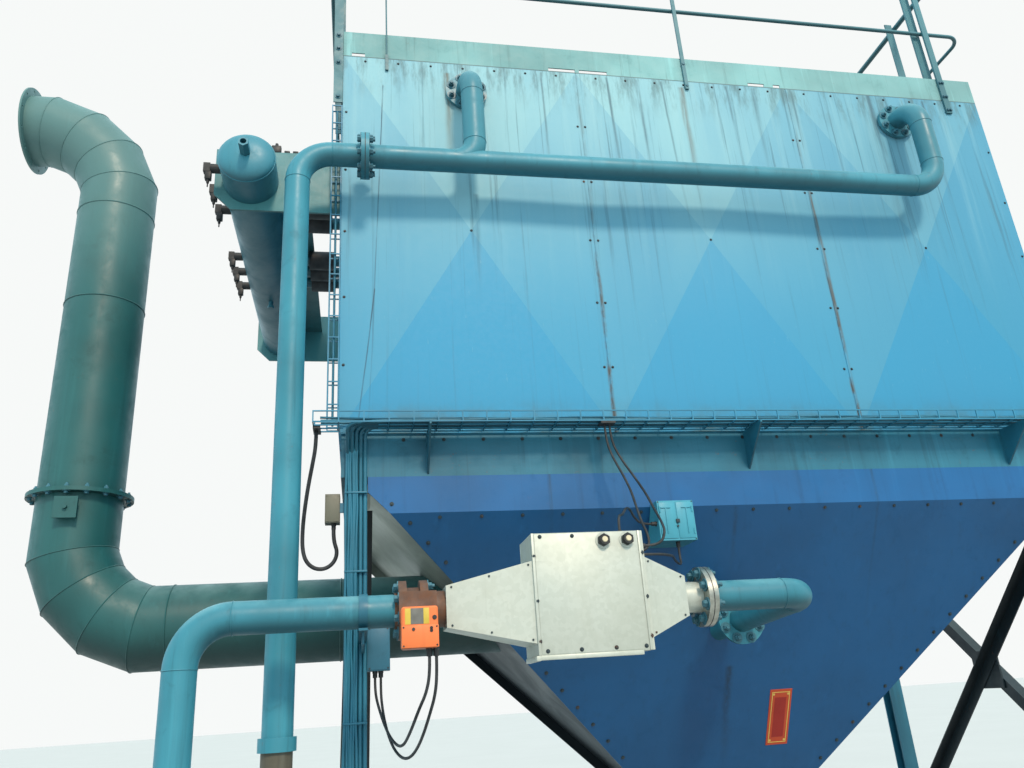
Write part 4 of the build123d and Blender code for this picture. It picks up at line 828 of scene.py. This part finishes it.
flange_set((JOINT_X, LOOP_Y, MANIFOLD), (1, 0, 0), FLANGE)
flange_set((UP_X, HEATER_Y, UP_JOINT_Z), (0, 0, 1), FLANGE)
for x in (BRANCH_X, LOOP_END_X):
    flange_set((x, -0.031, GOOSENECK), (0, -1, 0), 0.0, both=False)
flange_set((RETURN_X, 0.090, 1.651), (0, -1, 0), 0.0, both=False)
flange_set((HEATER_JOINT_X, HEATER_Y, HEATER_Z), (1, 0, 0), FLANGE, pitch_radius=0.084)
flange_set((DAMPER_X, HEATER_Y, HEATER_Z), (1, 0, 0), 0.049, pitch_radius=0.080, across=0.022)
flange_set((RISER_X, DUCT_Y, RING_Z), (0, 0, 1), 0.010, count=16, pitch_radius=0.225, across=0.018)
piece("flange_bolts", flange_bolts, BOLT_PAINTED)

GASKET = 0.003
GASKET_R = 0.1056
gaskets = bmesh.new()
for centre, axis in (
    ((JOINT_X, LOOP_Y, MANIFOLD), (1, 0, 0)),
    ((HEATER_JOINT_X, HEATER_Y, HEATER_Z), (1, 0, 0)),
    ((UP_X, HEATER_Y, UP_JOINT_Z), (0, 0, 1)),
):
    direction = Vector(axis)
    add_round(gaskets, Vector(centre) - direction * GASKET / 2, direction, GASKET_R, GASKET, 56)
piece("flange_gaskets", gaskets, BLACK)

# Weld beads at the elbows and joints
PIPE_BEAD = 0.0022
TANK_BEAD = 0.003
welds = bmesh.new()
for centre, axis in (
    ((DOWN_X + ELBOW, LOOP_Y, MANIFOLD), (1, 0, 0)),
    ((DOWN_X, LOOP_Y, MANIFOLD - ELBOW), (0, 0, 1)),
    ((LOOP_END_X - ELBOW, LOOP_Y, MANIFOLD), (1, 0, 0)),
    ((LOOP_END_X, LOOP_Y, MANIFOLD + ELBOW), (0, 0, 1)),
    ((LOOP_END_X, LOOP_Y, GOOSENECK - ELBOW), (0, 0, 1)),
    ((BRANCH_X, LOOP_Y, GOOSENECK - ELBOW), (0, 0, 1)),
    ((BRANCH_X, LOOP_Y, MANIFOLD + SADDLE), (0, 0, 1)),
    ((UP_X, HEATER_Y, HEATER_Z - ELBOW), (0, 0, 1)),
    ((UP_X + ELBOW, HEATER_Y, HEATER_Z), (1, 0, 0)),
    ((RETURN_X - SHORT_ELBOW, HEATER_Y, HEATER_Z), (1, 0, 0)),
    ((RETURN_X, HEATER_Y + SHORT_ELBOW, HEATER_Z - 0.007), (0, 1, 0)),
    ((DOWN_X, LOOP_Y, FAN_Z + ELBOW), (0, 0, 1)),
    ((DOWN_X, LOOP_Y - ELBOW, FAN_Z), (0, 1, 0)),
):
    add_bead(welds, centre, axis, PIPE, PIPE_BEAD)
for y in (-0.132, 1.937):
    add_bead(welds, (TANK_X, y, TANK_Z), (0, 1, 0), TANK_R, TANK_BEAD, 56)
for y in BLOW_PIPES:
    add_bead(welds, (TANK_X + 0.124, y, TANK_Z), (1, 0, 0), 0.030, TANK_BEAD, 24)
piece("pipe_welds", welds, PIPE_PAINT)

# Raised seams of the duct: rings on the straight lengths and mitres between the gores
seams = bmesh.new()
for z in (3.52, 4.10):
    add_bead(seams, (RISER_X, DUCT_Y, z), (0, 0, 1), DUCT_R, 0.004, 72)
for x in (-0.80, 0.0):
    add_bead(seams, (x, DUCT_Y, DUCT_Z), (1, 0, 0), DUCT_R, 0.004, 72)
GORE = math.radians(22.5)
for centre, bend, first in (
    ((RISER_X + LOW_BEND, DUCT_Z + LOW_BEND), LOW_BEND, 180.0),
    ((RISER_X - TOP_BEND, DUCT_TOP - TOP_BEND), TOP_BEND, 0.0),
):
    for gore in range(4):
        angle = math.radians(first) + (gore + 0.5) * GORE
        radial = Vector((math.cos(angle), 0, math.sin(angle)))
        corner = Vector((centre[0], DUCT_Y, centre[1])) + radial * bend / math.cos(GORE / 2)
        stretch = radial / math.cos(GORE / 2)
        along = radial.cross(Vector((0, 1, 0)))
        place = Matrix((stretch, Vector((0, 1, 0)), along)).transposed().to_4x4()
        add_bead(seams, (0, 0, 0), (0, 0, 1), DUCT_R, 0.003, 72, Matrix.Translation(corner) @ place)
piece("duct_seams", seams, DUCT_PAINT)

# Heater cover: edge strips, raised sheet, screws and bottom lip
COVER_STEP = 0.0015
STRIP_STEP = 0.004
TAPER_EDGE = 0.010
TAPER_INSET = 0.006
cover = bmesh.new()
screws = bmesh.new()
for face, out in ((BOX_FRONT, -1), (BOX_BACK, 1)):
    raised = face + out * COVER_STEP
    for x0, x1 in ((BOX_LEFT - 0.001, BOX_LEFT + 0.008), (BOX_RIGHT - 0.018, BOX_RIGHT - 0.009)):
        add_block(cover, (x0, face, BOX_FOOT), (x1, face + out * STRIP_STEP, BOX_TOP), 0.001)
    add_block(
        cover,
        (BOX_LEFT + 0.010, face, BOX_FOOT + 0.003),
        (BOX_RIGHT - 0.020, raised, BOX_TOP - 0.003),
        0.0006,
    )
    for x, z in (
        (0.674, 1.840), (0.676, 1.690), (0.700, 1.528), (0.815, 1.528), (0.935, 1.528), (1.040, 1.528),
        (1.062, 1.840), (1.062, 1.690), (0.700, 1.905), (0.815, 1.905), (1.062, 1.560), (0.676, 1.560),
    ):
        add_bolt(screws, (x, raised, z), (0, out, 0), 0.0075)
    for x, drop in ((0.655, 0.0015), (0.520, 0.0143), (0.392, 0.0267), (1.084, 0.003), (1.205, 0.0255)):
        share = (BOX_LEFT - x) / LEFT_TAPER if x < BOX_LEFT else (x - BOX_RIGHT) / RIGHT_TAPER
        half = TAPER_MOUTH - share * TAPER_DROP - TAPER_EDGE
        y = face - out * (TAPER_INSET + drop)
        for side in (-1, 1):
            add_bolt(screws, (x, y, HEATER_Z + side * half), (0, out, 0), 0.0065, washer=False)
for low, high in (
    ((BOX_LEFT - 0.008, BOX_FRONT - 0.003, BOX_FOOT - 0.014), (1.030, BOX_FRONT + 0.016, BOX_FOOT)),
    ((BOX_LEFT - 0.010, BOX_FRONT - 0.004, BOX_FOOT - 0.016), (BOX_LEFT + 0.006, -0.420, BOX_FOOT)),
):
    add_block(cover, low, high, 0.002)
piece("heater_cover", cover, ZINC_BOX)
piece("heater_screws", screws, BOLT_DARK)

# Two round elements on the heater's front
KNOBS = [(0.926, 1.886), (1.012, 1.887)]
rings = bmesh.new()
bodies = bmesh.new()
hearts = bmesh.new()
for x, z in KNOBS:
    add_round(rings, (x, BOX_FRONT - 0.0015, z), (0, -1, 0), 0.0285, 0.003, 32)
    add_round(bodies, (x, BOX_FRONT - 0.0045, z), (0, -1, 0), 0.0225, 0.014, 6)
    add_round(bodies, (x, BOX_FRONT - 0.0185, z), (0, -1, 0), 0.0200, 0.008, 28, tip=0.0170)
    add_round(hearts, (x, BOX_FRONT - 0.0265, z), (0, -1, 0), 0.0105, 0.004, 20, tip=0.0085)
piece("knob_rings", rings, ZINC_BOX)
piece("knob_bodies", bodies, BLACK)
piece("knob_centres", hearts, CREAM)

# Actuator: plain bands, raised lid, button and screws
ACTUATOR_FRONT = -0.6905
LID_FRONT = -0.6950
bands = bmesh.new()
for x in (0.2300, 0.2880):
    add_block(bands, (x, -0.6918, 1.627), (x + 0.0180, ACTUATOR_FRONT, 1.676), 0.0004)
piece("actuator_bands", bands, YELLOW)
field = bmesh.new()
add_block(field, (0.2480, -0.6916, 1.627), (0.2880, ACTUATOR_FRONT, 1.676), 0.0004)
piece("actuator_field", field, LABEL_GREY)
lid = bmesh.new()
add_block(lid, (0.2190, LID_FRONT, 1.556), (0.3350, ACTUATOR_FRONT, 1.624), 0.0020)
piece("actuator_lid", lid, ORANGE)
trim = bmesh.new()
add_round(trim, (0.3230, ACTUATOR_FRONT, 1.646), (0, -1, 0), 0.0075, 0.005, 20, tip=0.006)
for x, z, height in ((0.3120, 1.606, 0.002), (0.3120, 1.614, 0.002), (0.2560, 1.612, 0.003)):
    add_round(trim, (x, LID_FRONT, z), (0, -1, 0), 0.0050, height, 20)
for x in (0.225, 0.329):
    for z in (1.562, 1.618):
        add_round(trim, (x, LID_FRONT, z), (0, -1, 0), 0.0028, 0.0015, 12)
piece("actuator_trim", trim, BLACK)

# Junction box: two leaves with handles and a catch, hinges at the sides
JUNCTION_FRONT = -0.0695
LEAF_FRONT = -0.0725
leaves = bmesh.new()
for x0, x1 in ((1.349, 1.4205), (1.4265, 1.498)):
    add_block(leaves, (x0, -0.0730, 1.980), (x1, JUNCTION_FRONT, 2.135), 0.0012)
for x in (1.351, 1.496):
    for z in (2.010, 2.105):
        add_round(leaves, (x, -0.0735, z - 0.012), (0, 0, 1), 0.0035, 0.024, 12)
for x0 in (1.377, 1.470):
    add_block(leaves, (x0 - 0.002, -0.0765, 2.000), (x0 + 0.002, LEAF_FRONT, 2.112), 0.0008)
    add_block(leaves, (x0 - 0.022, -0.0765, 2.110), (x0 + 0.022, LEAF_FRONT, 2.114), 0.0008)
piece("junction_door", leaves, BOX_TURQUOISE)
catch = bmesh.new()
add_block(catch, (1.418, -0.0790, 2.046), (1.434, LEAF_FRONT, 2.062), 0.0015)
add_round(catch, (1.4235, LEAF_FRONT, 2.032), (0, -1, 0), 0.004, 0.006, 14)
for x in (1.347, 1.500):
    for z in (1.977, 2.138):
        add_round(catch, (x, JUNCTION_FRONT, z), (0, -1, 0), 0.003, 0.002, 10)
piece("junction_catch", catch, BOLT_DARK)

# Small box covers on the column
covers = bmesh.new()
add_block(covers, (0.1230, -0.0050, 1.5250), (0.2045, -0.0015, 1.6840), 0.0015)
piece("blue_box_cover", covers, BOX_BLUE)
box_screws = bmesh.new()
for x in (0.129, 0.199):
    for z in (1.531, 1.678):
        add_round(box_screws, (x, -0.0045, z), (0, -1, 0), 0.0035, 0.002, 12)
piece("box_screws", box_screws, BOLT_DARK)
grey_cover = bmesh.new()
add_block(grey_cover, (-0.0480, 0.0105, 2.1065), (0.0080, 0.0145, 2.2195), 0.0015)
for x in (-0.043, 0.003):
    for z in (2.112, 2.214):
        add_round(grey_cover, (x, 0.0110, z), (0, -1, 0), 0.0030, 0.002, 12)
piece("grey_box_cover", grey_cover, BOX_GREY)


def on_slope(x, along, out=0.0):
    """Point of the hopper's front plate, along metres down its slope."""
    y = GIRDER_FACE + along * math.cos(SLOPE)
    return Vector((x, y, BAND_FOOT - along * math.sin(SLOPE))) + SLOPE_OUT * out


def slope_plate(bm, x0, x1, top, foot, low, high):
    """Thin plate that lies on the hopper's front slope."""
    verts = []
    for out in (low, high):
        for x, along in ((x0, top), (x1, top), (x1, foot), (x0, foot)):
            verts.append(bm.verts.new(on_slope(x, along, out)))
    bm.faces.new(verts[:4])
    bm.faces.new(verts[4:])
    for side in range(4):
        other = (side + 1) % 4
        bm.faces.new((verts[side], verts[other], verts[4 + other], verts[4 + side]))


# Red plate with a gold border and a darker field, laid on the slope
PLATE_X = (1.997, 2.108)
PLATE_ALONG = (0.913, 1.198)
GOLD_FACE = 0.0018
(x0, x1), (top, foot) = PLATE_X, PLATE_ALONG
red = bmesh.new()
slope_plate(red, x0, x1, top, foot, -0.0005, 0.0020)
piece("red_plate", red, RED_PLATE, smooth=False)
border = bmesh.new()
for left, right, high, low in (
    (x0 + 0.010, x0 + 0.014, top + 0.012, foot - 0.012),
    (x1 - 0.014, x1 - 0.010, top + 0.012, foot - 0.012),
    (x0 + 0.014, x1 - 0.014, top + 0.012, top + 0.016),
    (x0 + 0.014, x1 - 0.014, foot - 0.016, foot - 0.012),
):
    slope_plate(border, left, right, high, low, GOLD_FACE, 0.0026)
for x in (x0 + 0.019, x1 - 0.019):
    for along in (top + 0.024, foot - 0.024):
        add_round(border, on_slope(x, along, 0.0015), SLOPE_OUT, 0.006, 0.0012, 8)
piece("red_plate_border", border, GOLD_LINE)
middle = bmesh.new()
slope_plate(middle, x0 + 0.026, x1 - 0.026, top + 0.040, foot - 0.040, GOLD_FACE, 0.0024)
piece("red_plate_field", middle, RED_FIELD, smooth=False)

# Bolts of the handrail posts
POST_FACE = 0.0074
post_bolts = bmesh.new()
for face, out in ((-POST_FACE, -1), (DEPTH + POST_FACE, 1)):
    for z in (4.235, 4.450, 4.540, 4.625):
        add_bolt(post_bolts, (-0.024, face, z), (0, out, 0), 0.016)
    for z in (4.462, 4.610):
        add_bolt(post_bolts, (1.845, face, z), (0, out, 0), 0.014)
    for x in (3.447, 3.465):
        for z in (4.424, 4.520, 4.620):
            add_bolt(post_bolts, (x, face + out * 0.006, z), (0, out, 0), 0.013)
piece("post_bolts", post_bolts, BOLT_PAINTED)

# Anchor nuts of the column feet
ANCHOR_X = 0.075
ANCHOR_Y = 0.057
ANCHOR_STEP = 0.080
BASE_TOP = 0.016
anchors = bmesh.new()
for x in (ANCHOR_X, WIDTH - ANCHOR_X):
    for y in (ANCHOR_Y, DEPTH - ANCHOR_Y):
        for dx in (-ANCHOR_STEP, ANCHOR_STEP):
            for dy in (-ANCHOR_STEP, ANCHOR_STEP):
                add_stud(anchors, (x + dx, y + dy, BASE_TOP), (0, 0, 1), 0.024)
piece("anchor_nuts", anchors, BOLT_ZINC)

# Motor fins, fan cowl and its grille rings
MOTOR_R = 0.0990
fins = bmesh.new()
for y in spread(-0.640, -0.852, 0.0135):
    add_round(fins, (DOWN_X, y, FAN_Z), (0, -1, 0), MOTOR_R, 0.0045, 40)
add_round(fins, (DOWN_X, -0.866, FAN_Z), (0, -1, 0), MOTOR_R, 0.038, 48, tip=0.0960)
for radius in (0.028, 0.046, 0.064, 0.080):
    add_bead(fins, (DOWN_X, -0.9065, FAN_Z), (0, 1, 0), radius, 0.0022)
piece("motor_fins", fins, MACHINE_PAINT)

# Pilot valves: connector block and lead stub on each
PILOT_X = -0.598
pilots = bmesh.new()
for y in VALVES:
    add_block(pilots, (-0.612, y - 0.014, TANK_Z - 0.062), (-0.584, y + 0.014, TANK_Z - 0.020), 0.003)
    add_round(pilots, (PILOT_X, y, TANK_Z - 0.062), (0, 0, -1), 0.008, 0.018, 14, tip=0.006)
    add_round(pilots, (PILOT_X, y, TANK_Z - 0.079), (0, 0, -1), 0.003, 0.020, 10)
    for z in (-0.012, 0.012):
        add_bolt(pilots, (-0.619, y, TANK_Z + z), (-1, 0, 0), 0.006, washer=False)
piece("pilot_connectors", pilots, BLACK)

# Small distribution block on the top edge of the tank's front plate
PLATE_TOP = 3.919
block = bmesh.new()
add_block(block, (-0.335, 0.040, PLATE_TOP), (-0.290, 0.066, 3.958), 0.004)
add_round(block, (-0.312, 0.053, 3.958), (0, 0, 1), 0.009, 0.016, 16, tip=0.007)
for x in (-0.275, -0.235, -0.195, -0.155):
    add_block(block, (x, 0.042, PLATE_TOP), (x + 0.026, 0.064, 3.931), 0.003)
piece("plate_block", block, BLACK)


def strands(name, routes, radius, material):
    """Bundle of painted-over cables, each of which touches what carries it."""
    made = smooth_curve(name, routes, radius, 2, 4, material)
    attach(made, "root")


# Cables that ties and trays hold all along: up the column, then along the tray
chance = random.Random(11)
routes = []
for order in range(6):
    x = 0.036 + order * 0.0085
    route = []
    for z in spread(0.415, 2.300, 0.13):
        route.append((x + chance.uniform(-0.0045, 0.0045), -0.0100 - chance.uniform(0.0, 0.003), z))
    bed = -0.135 + order * 0.018
    route += [(x, -0.014, 2.400), (x, -0.030, 2.462)]
    route += [(x + 0.020, bed * 0.6, 2.486), (x + 0.075, bed, TRAY_BED)]
    end = 3.45 - 0.42 * chance.random() * order
    for x in spread(0.30, end, 0.21):
        route.append((x, bed + chance.uniform(-0.007, 0.007), TRAY_BED + chance.uniform(0.0, 0.006)))
    routes.append(route)
for order in range(3):
    bed = -0.128 + order * 0.032
    route = []
    for x in spread(-0.07, 3.50, 0.19):
        route.append((x, bed + chance.uniform(-0.010, 0.010), 2.499 + chance.uniform(0.0, 0.006)))
    routes.append(route)
strands("tray_cables", routes, 0.0052, CABLE_BLUE)

ladder_low, ladder_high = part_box("cable_ladder")
routes = []
for share in (0.3, 0.5, 0.7):
    y = ladder_low[1] + share * (ladder_high[1] - ladder_low[1])
    x = (ladder_low[0] + ladder_high[0]) / 2
    routes.append([(x, y + chance.uniform(-0.003, 0.003), z) for z in spread(2.520, 4.150, 0.16)])
strands("ladder_cables", routes, 0.0048, CABLE_BLUE)

ties = bmesh.new()
for z in (0.62, 0.98, 1.34, 1.90, 2.22):
    add_block(ties, (0.0295, -0.0185, z - 0.004), (0.1205, 0.0140, z + 0.004), 0.0015)
piece("cable_ties", ties, CABLE_BLUE)


# Light and ground
SUN_STRENGTH = 2.5
SUN_WIDTH = 9
SUN_COLOUR = (1.0, 0.80, 0.62)
SUN_RAYS = (-0.033, 0.220, -0.175)
SKY_COLOUR = (0.74, 0.93, 1.0, 1)
SKY_STRENGTH = 1.32
BACKDROP_COLOUR = (0.93, 0.95, 0.94, 1)
GROUND_REACH = 80


def lights():
    """Warm sun from the front, blue sky light and a nearly white backdrop that only the camera sees."""
    sun = bpy.data.lights.new("key", "SUN")
    sun.energy = SUN_STRENGTH
    sun.angle = math.radians(SUN_WIDTH)
    sun.color = SUN_COLOUR
    made = bpy.data.objects.new("key", sun)
    made.rotation_euler = Vector(SUN_RAYS).to_track_quat("-Z", "Y").to_euler()
    bpy.context.collection.objects.link(made)
    world = bpy.data.worlds.new("studio")
    world.use_nodes = True
    sky_nodes = world.node_tree.nodes
    background = sky_nodes["Background"]
    background.inputs["Color"].default_value = SKY_COLOUR
    background.inputs["Strength"].default_value = SKY_STRENGTH
    backdrop = sky_nodes.new("ShaderNodeBackground")
    backdrop.inputs["Color"].default_value = BACKDROP_COLOUR
    seen = sky_nodes.new("ShaderNodeLightPath")
    both = sky_nodes.new("ShaderNodeMixShader")
    links = world.node_tree.links
    links.new(seen.outputs["Is Camera Ray"], both.inputs["Fac"])
    links.new(background.outputs["Background"], both.inputs[1])
    links.new(backdrop.outputs["Background"], both.inputs[2])
    links.new(both.outputs["Shader"], sky_nodes["World Output"].inputs["Surface"])
    bpy.context.scene.world = world
    bpy.context.scene.view_settings.view_transform = "Standard"


def floor():
    """Pale ground that catches the shadow."""
    bm = bmesh.new()
    bmesh.ops.create_grid(bm, x_segments=1, y_segments=1, size=GROUND_REACH)
    mesh = bpy.data.meshes.new("floor")
    bm.to_mesh(mesh)
    bm.free()
    s = Shader("floor", specular=0.2)
    tone = s.mix(s.ramp(s.noise(0.6, 4.0), 0.3, 0.7), (0.500, 0.505, 0.495), (0.515, 0.520, 0.510))
    mesh.materials.append(s.finish(tone, 0.8))
    made = bpy.data.objects.new("floor", mesh)
    made.location = (1.8, 0.5, -0.001)
    bpy.context.collection.objects.link(made)


lights()
floor()
